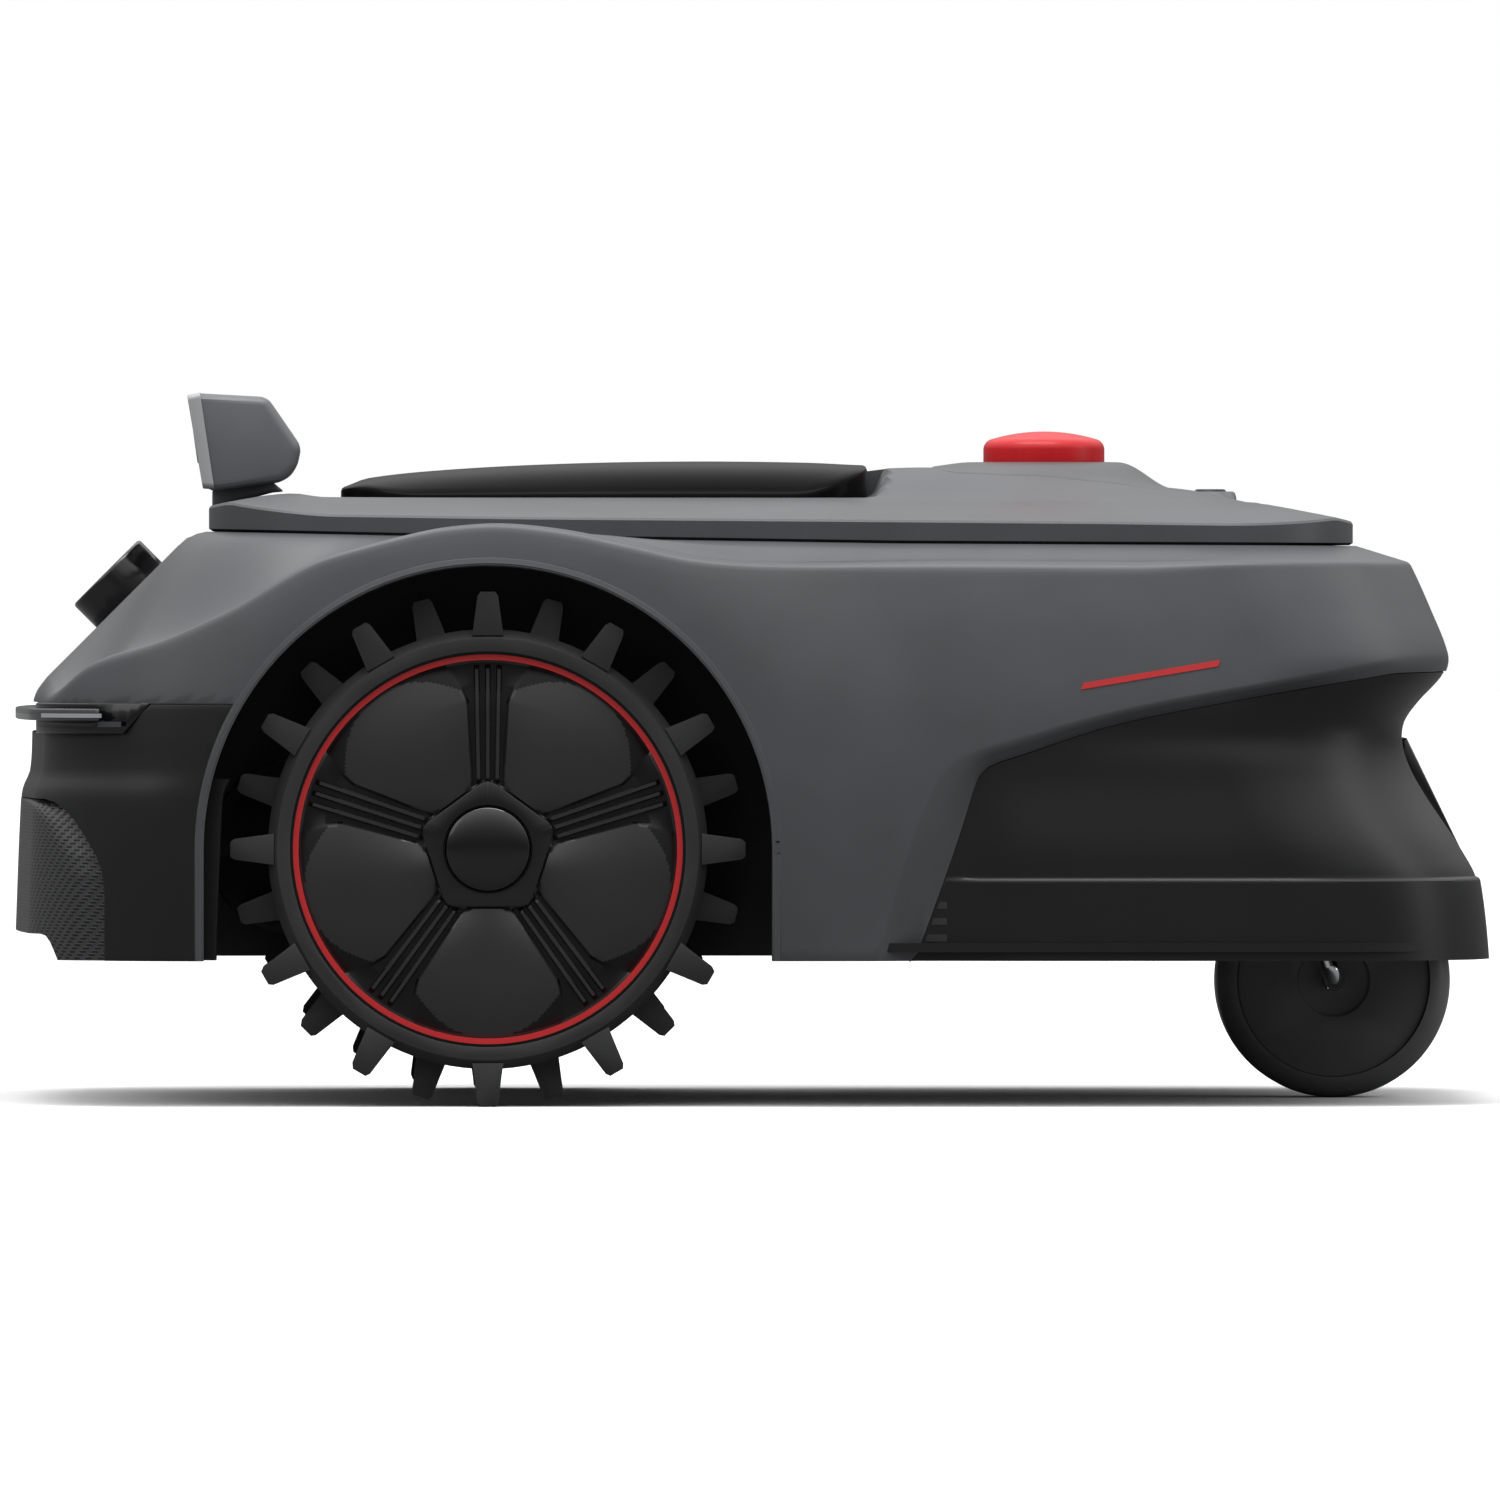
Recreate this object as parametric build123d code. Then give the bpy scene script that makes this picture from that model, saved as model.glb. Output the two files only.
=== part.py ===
"""Robotic lawn mower: front-wheel drive, rear caster, height-adjustable blade deck.

Frame: +X forward, +Y to the machine's left, +Z up.  The origin is on the ground,
under the middle of the overall box.  All sizes are in millimetres.
"""
import os
from math import asin, cos, radians, sin, sqrt

from build123d import *

# ---------------------------------------------------------------- overall sizes
body_length = 500.0
body_width = 370.0
skirt_clearance = 49.0          # ground to the lower edge of the body
wall = 3.0                      # moulded shell thickness

# ---------------------------------------------------------------- named clearances
running_gap = 0.06              # radial, turning shaft in its bore
slide_gap = 0.3                 # sliding pieces and trim in their seats
free_gap = 0.6                  # sliding pieces that must never rub

# ---------------------------------------------------------------- drive wheels
tyre_tip_radius = 86.4
lug_height = 12.6
lug_count = 24
lug_base = 10.4
lug_tip = 6.1
lug_stagger = 12.0
tyre_width = 45.0
tyre_inset = 13.0               # widest part of the body to the tyre's outer face
rim_inset = 7.4                 # tyre body to the rim's edge
ring_width = 1.9
hub_cap_radius = 14.4
hub_vertex_radius = 21.8
axle_radius = 6.0
axle_setback = 161.3            # front end of the body to the drive axle
arch_gap = 8.9                  # lug tip to wheel arch
arch_lip = 2.9
arch_lip_depth = 16.0
fender_depth = 14.9             # arch to the top of the fender
spoke_count = 5

# ---------------------------------------------------------------- caster
caster_radius = 40.0
caster_width = 34.0
caster_shoulder = 8.0
caster_trail = 14.6
caster_setback = 49.4           # rear end of the body to the caster axle
caster_rod_radius = 3.2
caster_side_gap = 1.6           # wheel to fork leg
caster_stem_radius = 6.0
caster_hub_radius = 33.0

# ---------------------------------------------------------------- blade deck
disc_radius = 80.0
disc_thickness = 3.0
disc_height = 56.0              # ground to the underside of the disc, deck raised
deck_setback = 100.0            # drive axle to the blade shaft
blade_length = 36.0
blade_width = 18.0
blade_thickness = 0.8
blade_count = 3
blade_pivot_inset = 8.0         # disc rim to the blade pivot
blade_pivot_radius = 2.5
blade_room = 5.0                # blade tip to the chamber wall
deck_motor_radius = 34.0
deck_motor_height = 52.0
blade_shaft_radius = 4.0
guide_rod_radius = 4.0
guide_rod_offset = 48.0
height_screw_radius = 4.0
height_screw_offset = 50.0

# ---------------------------------------------------------------- chassis tub
tub_inset = 64.0                # widest part of the body to the tub's side wall
tub_wall = 3.0
tub_floor = 52.0
tub_top = 156.0
lid_top = 178.0
gearbox_length = 33.0
gearbox_radius = 30.0
motor_spacing = 64.0            # axle to the drive motor's axis
drive_motor_radius = 18.0
drive_motor_length = 62.0

# ---------------------------------------------------------------- shells
seam_height = 135.3             # lower edge of the grey shell at the nose
hood_inset = 27.0               # widest part of the body to the side of the raised middle
panel_inset = 35.0              # widest part of the body to the side of the top panel
panel_front_setback = 67.4
panel_rear_setback = 46.0
front_corner = 62.0
rear_corner = 65.0
nose_sagitta = 12.0
side_lean = 11.0                # how far the sides lean in up to the shoulder
overhang_setback = 14.5         # tail end to the overhanging grey rear edge
waist_setback = 25.5            # tail end to the waist under it
waist_depth = 4.0
skirt_top = 76.5                # step between the skirt and the tail
waist_low = 118.0               # lower end of the waist

# ---------------------------------------------------------------- bumper and buttons
bumper_travel = 3.0
bumper_top = 103.0
bumper_pin_radius = 3.0
bumper_pin_offset = 60.0
stop_button_radius = 20.7
stop_button_setback = 147.9     # rear end of the body to the stop button
stop_button_top = 227.4
stop_travel = 3.0
hump_radius = 25.2
hump_top = 216.9
power_button_radius = 5.4
power_button_setback = 91.0
power_button_top = 207.7
power_travel = 1.5

# ---------------------------------------------------------------- charging contacts
plate_low = 85.8
plate_top = 123.0
plate_setback = 7.4             # rear end of the body to the plate's lower edge
plate_half_width = 44.0
contact_offset = 22.0
contact_half_width = 9.0
contact_depth = 1.2

# ---------------------------------------------------------------- camera and pod
camera_width = 66.0
pod_radius = 15.8
pod_height = 10.0
window_half_width = 62.0

# ---------------------------------------------------------------- derived places
nose_x = body_length / 2
tail_x = -body_length / 2
side_y = body_width / 2
axle_x = nose_x - axle_setback
axle_z = tyre_tip_radius
tyre_outer_y = side_y - tyre_inset
tub_half_width = side_y - tub_inset
hood_half_width = side_y - hood_inset
panel_half_width = side_y - panel_inset
tyre_body_radius = tyre_tip_radius - lug_height
rim_radius = tyre_body_radius - rim_inset
arch_radius = tyre_tip_radius + arch_gap
fender_top = axle_z + arch_radius + fender_depth
deck_x = axle_x - deck_setback
caster_x = tail_x + caster_setback
stem_x = caster_x + caster_trail
fork_y = caster_width / 2 + caster_side_gap + caster_rod_radius
crown_z = 2 * caster_radius + caster_rod_radius + 2.6
well_ceiling = crown_z + caster_rod_radius + 2.0
tub_front = axle_x + 103.0
tub_rear = deck_x - disc_radius - 36.0
chamber_radius = disc_radius + blade_length - 2 * blade_pivot_inset + blade_room
chamber_ceiling = disc_height + disc_thickness + 7.0
panel_front = nose_x - panel_front_setback
panel_rear = tail_x + panel_rear_setback
stop_x = tail_x + stop_button_setback
power_x = tail_x + power_button_setback
motor_x = axle_x + motor_spacing
hatch_front = axle_x + 50.0      # opening in the body under the top panel
hatch_rear = axle_x - 265.0

DOWN = -20.0                    # a level safely under every open lower edge


# ================================================================ shape helpers
def block(x0, x1, y0, y1, z0, z1):
    """Box between two corners."""
    centre = Pos((x0 + x1) / 2, (y0 + y1) / 2, (z0 + z1) / 2)
    return centre * Box(x1 - x0, y1 - y0, z1 - z0)


def post(radius, x, y, z0, z1):
    """Upright cylinder."""
    return Pos(x, y, z0) * Cylinder(radius, z1 - z0, align=(Align.CENTER, Align.CENTER, Align.MIN))


def pin_y(radius, x, z, y0, y1):
    """Cylinder lying across the machine."""
    low = min(y0, y1)
    rod = Cylinder(radius, abs(y1 - y0), align=(Align.CENTER, Align.CENTER, Align.MIN))
    return Pos(x, low, z) * Rot(-90, 0, 0) * rod


def pin_x(radius, y, z, x0, x1):
    """Cylinder lying along the machine."""
    rod = Cylinder(radius, x1 - x0, align=(Align.CENTER, Align.CENTER, Align.MIN))
    return Pos(x0, y, z) * Rot(0, 90, 0) * rod


def side_face(*pieces):
    """Closed outline in the X-Z plane from lists of (x, z) points and curves."""
    edges = []
    for piece in pieces:
        if isinstance(piece, list):
            edges.append(Polyline(*[(x, 0, z) for x, z in piece]))
        else:
            edges.append(piece)
    return make_face(edges)


def across(face, y0, y1):
    """Extrude an X-Z outline across the machine."""
    return Pos(0, y0, 0) * extrude(face, amount=y1 - y0, dir=(0, 1, 0))


def side_slab(points, y0, y1):
    """Extrude a polygon of (x, z) points across the machine."""
    return across(side_face(points + [points[0]]), y0, y1)


def mirrored(shape):
    """The same shape on the right-hand side."""
    return mirror(shape, about=Plane.XZ)


def both_sides(shape):
    return shape + mirrored(shape)


def dome_arc(radius, edge, pole):
    """Arc from a round edge up to a pole on the axis, level at the pole."""
    rise = pole - edge
    ball = (radius ** 2 + rise ** 2) / (2 * rise)
    half_angle = asin(radius / ball) / 2
    middle = (ball * sin(half_angle), 0, pole - ball * (1 - cos(half_angle)))
    return ThreePointArc((radius, 0, edge), middle, (0, 0, pole))


# ================================================================ body envelope
def crest_curve(inset):
    """Upper edge of the fender and side, from the shoulder to the nose."""
    points = [
        (axle_x - 92.9, 183.4),
        (axle_x - 46.6, 189.9),
        (axle_x - 3.2, fender_top),
        (axle_x + 29.9, fender_top - 4.3),
        (axle_x + 67.4, 181.1),
        (axle_x + 99.6, 166.1),
        (nose_x - 19.1, 150.1),
    ]
    return Spline(*[(x, 0, z - inset) for x, z in points], tangents=[(1, 0, 0), (0.9, 0, -0.42)])


def lower_outline(inset):
    """Side view of the lower body and fenders, open below when inset."""
    floor = skirt_clearance if inset == 0 else DOWN
    front = [
        (nose_x - 19.1, 150.1 - inset),
        (nose_x - 6.5 - inset, 137.8 - inset),
        (nose_x - 6.1 - inset, 125.5),
        (nose_x - 5.4 - inset, 111.7),
        (nose_x - 2.4 - inset, 105.7),
        (nose_x - inset, floor),
    ]
    rear = [
        (nose_x - inset, floor),
        (tail_x, floor),
        (tail_x, 181.0 - inset),
        (axle_x - 92.9, 183.4 - inset),
    ]
    return side_face(crest_curve(inset), front, rear)


def hood_outline(inset):
    """Side view of the raised middle body under the top panel."""
    low = 120.0
    points = [
        (nose_x - 20.0, low),
        (nose_x - 6.5 - inset * 1.4, 137.8),
        (nose_x - 59.2 - inset, 190.8 - inset * 0.4),
        (nose_x - 67.2 - inset, 193.2 - inset),
        (axle_x - 137.7, 189.2 - inset),
        (tail_x + 43.0 + inset, 188.4 - inset),
        (tail_x + 30.9 + inset, 182.4 - inset),
        (tail_x + 30.9 + inset, low),
    ]
    return side_face(points + [points[0]])


def plan_outline(inset, z, tail_setback=0.0, side_setback=0.0):
    """Plan outline with round corners and a bowed nose, at a height."""
    half = side_y - inset - side_setback
    front = nose_x - inset
    back = tail_x + inset + tail_setback
    bow = ThreePointArc((front - nose_sagitta, -half), (front, 0), (front - nose_sagitta, half))
    rest = Polyline((front - nose_sagitta, half), (back, half), (back, -half), (front - nose_sagitta, -half))
    face = make_face([bow, rest])
    corners = face.vertices().sort_by(Axis.X)
    face = fillet(corners[:2], rear_corner - inset)
    corners = [v for v in face.vertices() if v.X > front - nose_sagitta - 0.1 and abs(v.Y) > half - 0.1]
    face = fillet(corners, front_corner - inset)
    return Pos(0, 0, z) * face


def plan_prism(inset, z0, z1):
    """Upright prism of the full plan outline."""
    return extrude(plan_outline(inset, z0), amount=z1 - z0, dir=(0, 0, 1))


def plan_stack(inset):
    """Plan outlines at rising heights: skirt, waist under the overhanging tail, leaning sides."""
    levels = [
        (DOWN, 0.0, 0.0),
        (skirt_clearance, 0.0, 0.0),
        (skirt_top, 4.0, 0.0),
        (waist_low, waist_setback, side_lean * 0.1),
        (130.0, waist_setback, side_lean * 0.2),
        (146.0, overhang_setback + 0.5, side_lean * 0.35),
        (152.0, overhang_setback, side_lean * 0.4),
        (186.0, overhang_setback + 13.0, side_lean),
        (240.0, overhang_setback + 34.0, side_lean + 4.0),
    ]
    return loft([plan_outline(inset, *level) for level in levels], ruled=True)


def envelope(inset):
    """Whole outer form of the body, moved in by an inset."""
    lower = across(lower_outline(inset), -side_y, side_y)
    half = hood_half_width - inset
    hood = across(hood_outline(inset), -half, half)
    return (lower + hood) & plan_stack(inset)


# ================================================================ seam regions
def arch_outline(radius):
    """Wheel arch: half circle with upright sides down past the skirt."""
    arc = ThreePointArc((axle_x - radius, 0, axle_z), (axle_x, 0, axle_z + radius), (axle_x + radius, 0, axle_z))
    legs = [(axle_x + radius, axle_z), (axle_x + radius, DOWN), (axle_x - radius, DOWN), (axle_x - radius, axle_z)]
    return side_face(arc, legs)


def arch_cutter():
    """Space for both drive wheels through the sides of the body."""
    one = across(arch_outline(arch_radius), tub_half_width + slide_gap, side_y + 10)
    return both_sides(one)


def front_region():
    """Black nose shell: from the lip of the wheel arch forwards, under the nose seam."""
    radius = arch_radius + arch_lip
    start = axle_x + sqrt(radius ** 2 - (seam_height - axle_z) ** 2)
    points = [(start, DOWN), (nose_x + 10, DOWN), (nose_x + 10, seam_height), (start, seam_height)]
    return side_slab(points, -side_y - 5, side_y + 5) - across(arch_outline(radius), -side_y - 6, side_y + 6)


def rear_region():
    """Black tail shell: under the slanted rear seam."""
    points = [
        (tail_x - 10, DOWN),
        (tail_x - 10, 149.0),
        (tail_x + 18.0, 145.5),
        (axle_x - 176.7, 116.0),
        (axle_x - 166.3, 111.0),
        (axle_x - 161.3, 99.3),
        (axle_x - 143.0, 49.3),
        (axle_x - 143.0, DOWN),
    ]
    return side_slab(points, -side_y - 5, side_y + 5)


light_bar_rear = nose_x - 48.0
light_bar_low = 125.2
light_blade_low = 129.5
light_blade_high = 133.5


def light_bar_region():
    """Slot for the light bar under the nose lip."""
    points = [
        (nose_x + 10, light_bar_low), (nose_x + 10, seam_height),
        (light_bar_rear, seam_height), (light_bar_rear + 9.0, light_bar_low),
    ]
    return side_slab(points, -side_y - 5, side_y + 5)


def bumper_region(back_gap, top_gap):
    """Side view of the bumper, grown for its travel behind and its gap above."""
    points = [
        (nose_x + 10, bumper_top + top_gap),
        (nose_x - 11.8 - back_gap, bumper_top - 0.4 + top_gap),
        (nose_x - 17.5 - back_gap, 99.8 + top_gap),
        (nose_x - 22.2 - back_gap, 95.1),
        (nose_x - 29.7 - back_gap, 84.2),
        (nose_x - 31.6 - back_gap, 77.7),
        (nose_x - 32.0 - back_gap, 70.0),
        (nose_x - 32.0 - back_gap, skirt_clearance - top_gap),
        (nose_x - 16.1, skirt_clearance - top_gap),
        (nose_x - 11.4, 57.7 - top_gap),
        (nose_x + 10, 57.7 - top_gap),
    ]
    return side_slab(points, -side_y - 5, side_y + 5)


# ================================================================ shells
def make_shells():
    outer = envelope(0)
    skin = outer - envelope(wall)
    arches = arch_cutter()
    front = front_region()
    rear = rear_region()
    bar = light_bar_region()

    opening_half = tub_half_width - tub_wall
    opening = block(hatch_rear, hatch_front, -opening_half, opening_half, 178.0, 240.0)
    pod_seat = sensor_pod_place() * post(pod_radius + slide_gap, 0, 0, -30.0, 30.0)
    panel_seat = panel_plan(slide_gap, 150.0) & side_slab(
        [(tail_x, 188.4), (panel_rear, 188.4), (axle_x - 137.7, 189.2), (panel_front, 193.2),
         (nose_x, 193.2), (nose_x, 240.0), (tail_x, 240.0)], -side_y, side_y)
    body = skin - arches - front - rear - bar - opening - pod_seat - panel_seat
    lip_ring = across(arch_outline(arch_radius + arch_lip) - arch_outline(arch_radius),
                      side_y - arch_lip_depth, side_y)
    lip = (both_sides(lip_ring) & outer) - block(tail_x, nose_x, -side_y, side_y, DOWN, skirt_clearance)
    body = body + (lip - rear)

    back_skin = 4.0 + wall
    nose = (skin & front) - bar - bumper_region(bumper_travel + free_gap, free_gap)
    nose = nose - arches
    backing = (envelope(back_skin) - envelope(back_skin + wall)) & front
    backing = backing & bumper_region(bumper_travel + free_gap + wall, free_gap + wall)
    rim = (outer - envelope(back_skin + wall)) & front
    rim = rim & (bumper_region(bumper_travel + free_gap + wall, free_gap + wall)
                 - bumper_region(bumper_travel + free_gap, free_gap))
    floor_cut = block(tail_x, nose_x + 10, -side_y, side_y, DOWN, skirt_clearance)
    pin_holes = both_sides(pin_x(bumper_pin_radius + slide_gap, bumper_pin_offset, 80.0, nose_x - 60, nose_x))
    nose = (nose + backing + rim) - floor_cut - pin_holes - arches

    inner_tail = envelope(waist_depth) - envelope(waist_depth + wall)
    low_band = block(tail_x - 5, nose_x, -side_y - 5, side_y + 5, DOWN, skirt_top)
    high_band = block(tail_x - 5, nose_x, -side_y - 5, side_y + 5, skirt_top - wall, 240.0)
    tail_low = skin & low_band
    tail_high = inner_tail & high_band
    ledge = (outer - envelope(waist_depth + wall)) & block(
        tail_x - 5, nose_x, -side_y - 5, side_y + 5, skirt_top - wall, skirt_top)
    tail = (tail_low + tail_high + ledge) & rear
    tail = tail - block(tail_x - 5, nose_x, -side_y, side_y, DOWN, skirt_clearance)
    return body, nose, tail


def make_bumper():
    """Moving nose skin with two guide pins."""
    skin = (envelope(0) - envelope(wall)) & bumper_region(0, 0)
    skin = skin - block(tail_x, nose_x + 10, -side_y, side_y, DOWN, skirt_clearance)
    pins = both_sides(pin_x(bumper_pin_radius, bumper_pin_offset, 80.0, nose_x - 32.0, nose_x - 3.4))
    return skin + (pins & envelope(1.0))


def bar_body(inset):
    """Solid filling the nose and flanks at the height of the light bar."""
    return plan_stack(inset) & block(tail_x, nose_x - 6.3 - inset, -side_y, side_y, 110.0, 145.0)


def make_light_bar():
    """Recessed dark housing and the clear blade standing out of it."""
    blade_band = block(light_bar_rear + 17.0, nose_x, -side_y, side_y, light_blade_low, light_blade_high)
    blade = (plan_prism(0.8, light_blade_low, light_blade_high)
             - plan_prism(16.0, light_blade_low - 1, light_blade_high + 1)) & blade_band
    housing = (bar_body(wall) - bar_body(wall + 7.0)) & light_bar_region()
    channel = (plan_prism(-5.0, light_blade_low, light_blade_high)
               - plan_prism(16.0, light_blade_low, light_blade_high)) & blade_band
    return housing - channel, blade


# ================================================================ top panel group
def panel_profile(drop):
    """Side view of the top panel's surface on the centre line."""
    return [
        (panel_front, 200.9 - drop),
        (panel_front - 21.0, 206.5 - drop),
        (axle_x + 42.0, 209.5 - drop),
        (axle_x - 70.0, 213.4 - drop),
        (axle_x - 129.9, 212.2 - drop),
        (stop_x - 33.7, 208.6 - drop),
        (power_x - 8.9, 203.7 - drop),
        (panel_rear, 195.9 - drop),
    ]


def panel_plan(grow, low):
    """Upright prism of the top panel's plan, grown or shrunk all round."""
    length = panel_front - panel_rear + 2 * grow
    plan = RectangleRounded(length, 2 * (panel_half_width + grow), 48.0 + grow)
    return Pos((panel_front + panel_rear) / 2, 0, low) * extrude(plan, amount=100)


def panel_form(inset):
    """Crowned cover with round plan corners."""
    base = [(panel_rear + inset, 188.4 - inset), (axle_x - 137.7, 189.2 - inset), (panel_front - inset, 193.2 - inset)]
    side = panel_profile(inset)
    side[0] = (panel_front - inset, 200.9 - inset)
    side[-1] = (panel_rear + inset, 195.9 - inset)
    reach = panel_half_width + 10.0
    form = side_slab(base + side, -reach, reach)
    crown_rise = 23.8
    crown_top = 221.0 - inset
    crown_ball = (panel_half_width ** 2 + crown_rise ** 2) / (2 * crown_rise)
    edge_z = crown_top - crown_ball + sqrt(crown_ball ** 2 - (reach + 2) ** 2)
    crown = make_face([
        ThreePointArc((0, -reach - 2, edge_z), (0, 0, crown_top), (0, reach + 2, edge_z)),
        Polyline((0, reach + 2, edge_z), (0, reach + 2, 150.0), (0, -reach - 2, 150.0), (0, -reach - 2, edge_z)),
    ])
    form = form & (Pos(tail_x, 0, 0) * extrude(crown, amount=body_length, dir=(1, 0, 0)))
    return form & panel_plan(-inset, 150.0)


def window_form(inset):
    """Smoked blister on the panel: bowed along the machine and rounded in plan."""
    rear = axle_x - 129.7 + inset
    front = axle_x + 49.4 - inset
    bow = ThreePointArc((front - 8.0, 0, 211.6 - inset), (axle_x - 40.0, 0, 216.9 - inset), (rear, 0, 215.5 - inset))
    rest = [(rear, 215.5 - inset), (rear, 201.0), (front, 201.0), (front, 208.5 - inset), (front - 8.0, 211.6 - inset)]
    half = window_half_width - inset
    form = across(side_face(bow, rest), -half, half)
    plan = Pos((rear + front) / 2, 0, 190) * extrude(
        RectangleRounded(front - rear, 2 * half, 26.0 - inset), amount=40)
    return form & plan


control_front = axle_x - 152.0
control_rear = power_x - 8.5
control_half = 42.0


def control_prism(gap, z0, z1):
    length = control_front - control_rear + 2 * gap
    plan = RectangleRounded(length, 2 * (control_half + gap), 12.0)
    return Pos((control_front + control_rear) / 2, 0, z0) * extrude(plan, amount=z1 - z0)


def make_top_group():
    """Top panel, smoked window and control panel with its button pockets."""
    hollow_half = tub_half_width - tub_wall
    hollow = block(hatch_rear, hatch_front, -hollow_half, hollow_half, 150.0, 199.0)
    panel = panel_form(0) - hollow
    panel = panel - window_seat() - control_prism(slide_gap, 150, 240)
    window = window_form(0) - window_form(wall)
    window = window & block(tail_x, nose_x, -side_y, side_y, 202.0, 240)

    inlay = (panel_form(0) - panel_form(2 * wall)) & control_prism(0, 150, 240)
    hump = Pos(stop_x, 0, 197.0) * Cone(44.0, hump_radius, hump_top - 197.0,
                                        align=(Align.CENTER, Align.CENTER, Align.MIN))
    boss = post(power_button_radius + 3.4, power_x, 0, 196.5, power_button_top - 0.9)
    control = inlay + (hump & control_prism(0, 150, 240)) + boss
    pocket = post(stop_button_radius + slide_gap, stop_x, 0, hump_top - 8.0, 240)
    pocket = pocket + post(9.0, stop_x, 0, 150, 240)
    power_hole = post(power_button_radius + slide_gap, power_x, 0, power_button_top - 6.5, 240)
    power_hole = power_hole + post(3.0, power_x, 0, 150, 240)
    return panel, window, control - pocket - power_hole


def window_seat():
    """Opening in the panel under the smoked window, a little smaller than the window."""
    rear = axle_x - 129.7
    front = axle_x + 49.4
    plan = RectangleRounded(front - rear + 2 * slide_gap, 2 * (window_half_width + slide_gap), 26.0)
    return Pos((rear + front) / 2, 0, 202.0 - slide_gap) * extrude(plan, amount=40)


def make_buttons():
    """Mushroom stop button and small power button, each on a stem."""
    seat = hump_top - 8.0 + stop_travel + free_gap
    shoulder = stop_button_top - 5.1
    profile = side_face(
        [(0, shoulder + 5.1), (0, seat), (stop_button_radius, seat), (stop_button_radius, shoulder - 1.0)],
        ThreePointArc((stop_button_radius, 0, shoulder - 1.0), (stop_button_radius - 0.9, 0, shoulder + 1.3),
                      (stop_button_radius - 3.2, 0, shoulder + 2.6)),
        dome_arc(stop_button_radius - 3.2, shoulder + 2.6, shoulder + 5.1),
    )
    stop = Pos(stop_x, 0, 0) * revolve(profile, axis=Axis.Z)
    stop = stop + post(9.0 - slide_gap, stop_x, 0, 200.0, seat)
    low = power_button_top - 6.5 + power_travel + free_gap
    power = post(power_button_radius, power_x, 0, low, power_button_top)
    power = fillet(power.edges().group_by(Axis.Z)[-1], 1.0)
    power = power + post(3.0 - slide_gap, power_x, 0, 192.0, low)
    return stop, power


# ================================================================ camera and pod
camera_lean = 8.0


def make_camera():
    face_top = (nose_x - 59.5, 239.6)
    face_low = (nose_x - 64.9, 207.9)
    bezel = side_slab([face_top, (nose_x - 63.9, 240.6), (nose_x - 68.8, 207.7), face_low],
                      -camera_width / 2, camera_width / 2)
    corner_edges = [edge for edge in bezel.edges() if edge.length < 6.0]
    bezel = fillet(corner_edges, 2.0)
    window_cut = side_slab([(nose_x - 50.0, 235.6), (nose_x - 62.2, 235.9), (nose_x - 66.2, 211.8), (nose_x - 50, 211.6)],
                           -camera_width / 2 + 5, camera_width / 2 - 5)
    glass = side_slab([(nose_x - 60.9, 235.5), (nose_x - 62.2, 235.9), (nose_x - 66.2, 211.8), (nose_x - 64.9, 211.6)],
                      -camera_width / 2 + 5, camera_width / 2 - 5)
    housing = side_slab([(nose_x - 63.9, 240.6), (nose_x - 86.5, 239.0), (nose_x - 90.6, 233.0),
                         (nose_x - 92.6, 211.0), (nose_x - 68.8, 207.7)],
                        -camera_width / 2 + 0.8, camera_width / 2 - 0.8)
    cap = side_slab([(nose_x - 86.5, 239.0), (nose_x - 98.2, 222.2), (nose_x - 96.4, 215.0),
                     (nose_x - 92.6, 211.0), (nose_x - 90.6, 233.0)],
                    -camera_width / 2 + 3.0, camera_width / 2 - 3.0)
    axis = Plane(origin=(nose_x - 62.4, 0, 224.0), z_dir=(cos(radians(camera_lean)), 0, sin(radians(-camera_lean))))
    barrel = axis * Pos(0, 0, -9.0) * Cylinder(7.5, 9.4, align=(Align.CENTER, Align.CENTER, Align.MIN))
    spacing = camera_width / 4
    lenses = Pos(0, spacing, 0) * barrel + Pos(0, -spacing, 0) * barrel
    housing = housing - lenses
    glass = glass - lenses
    bezel = bezel - window_cut - glass - lenses
    neck = side_slab([(nose_x - 68.0, 198.0), (nose_x - 68.0, 207.6), (nose_x - 88.4, 210.3),
                      (nose_x - 96.0, 204.0), (nose_x - 96.0, 198.0)], -18.0, 18.0)
    return bezel, glass, housing, cap, lenses, neck - panel_form(0) - housing - cap


def sensor_pod_place():
    """Frame on the nose slope, Z out of the slope."""
    return Pos(nose_x - 38.8, 0, 172.3) * Rot(0, 45, 0)


def make_sensor_pod():
    place = sensor_pod_place()
    body = post(pod_radius, 0, 0, -10.0, pod_height)
    rim_edges = body.edges().group_by(Axis.Z)[-1]
    body = fillet(rim_edges, 1.2)
    lens = post(pod_radius - 4.0, 0, 0, pod_height - 2.0, pod_height - 0.4)
    body = body - post(pod_radius - 4.0, 0, 0, pod_height - 2.0, pod_height + 5)
    return place * body, place * lens


# ================================================================ drive wheels
def lug():
    """One tapered tread bar, root sunk into the tread."""
    root = tyre_body_radius - 2.0
    tip = tyre_tip_radius
    chamfer_z = tip - 1.4
    width = 30.0
    outline = Polyline(
        (-lug_base / 2, 0, root), (lug_base / 2, 0, root), (lug_tip / 2 + 0.4, 0, chamfer_z),
        (lug_tip / 2 - 0.6, 0, tip), (0.6 - lug_tip / 2, 0, tip), (-lug_tip / 2 - 0.4, 0, chamfer_z), close=True)
    return Pos(0, -width, 0) * extrude(make_face(outline), amount=width, dir=(0, 1, 0))


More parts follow.
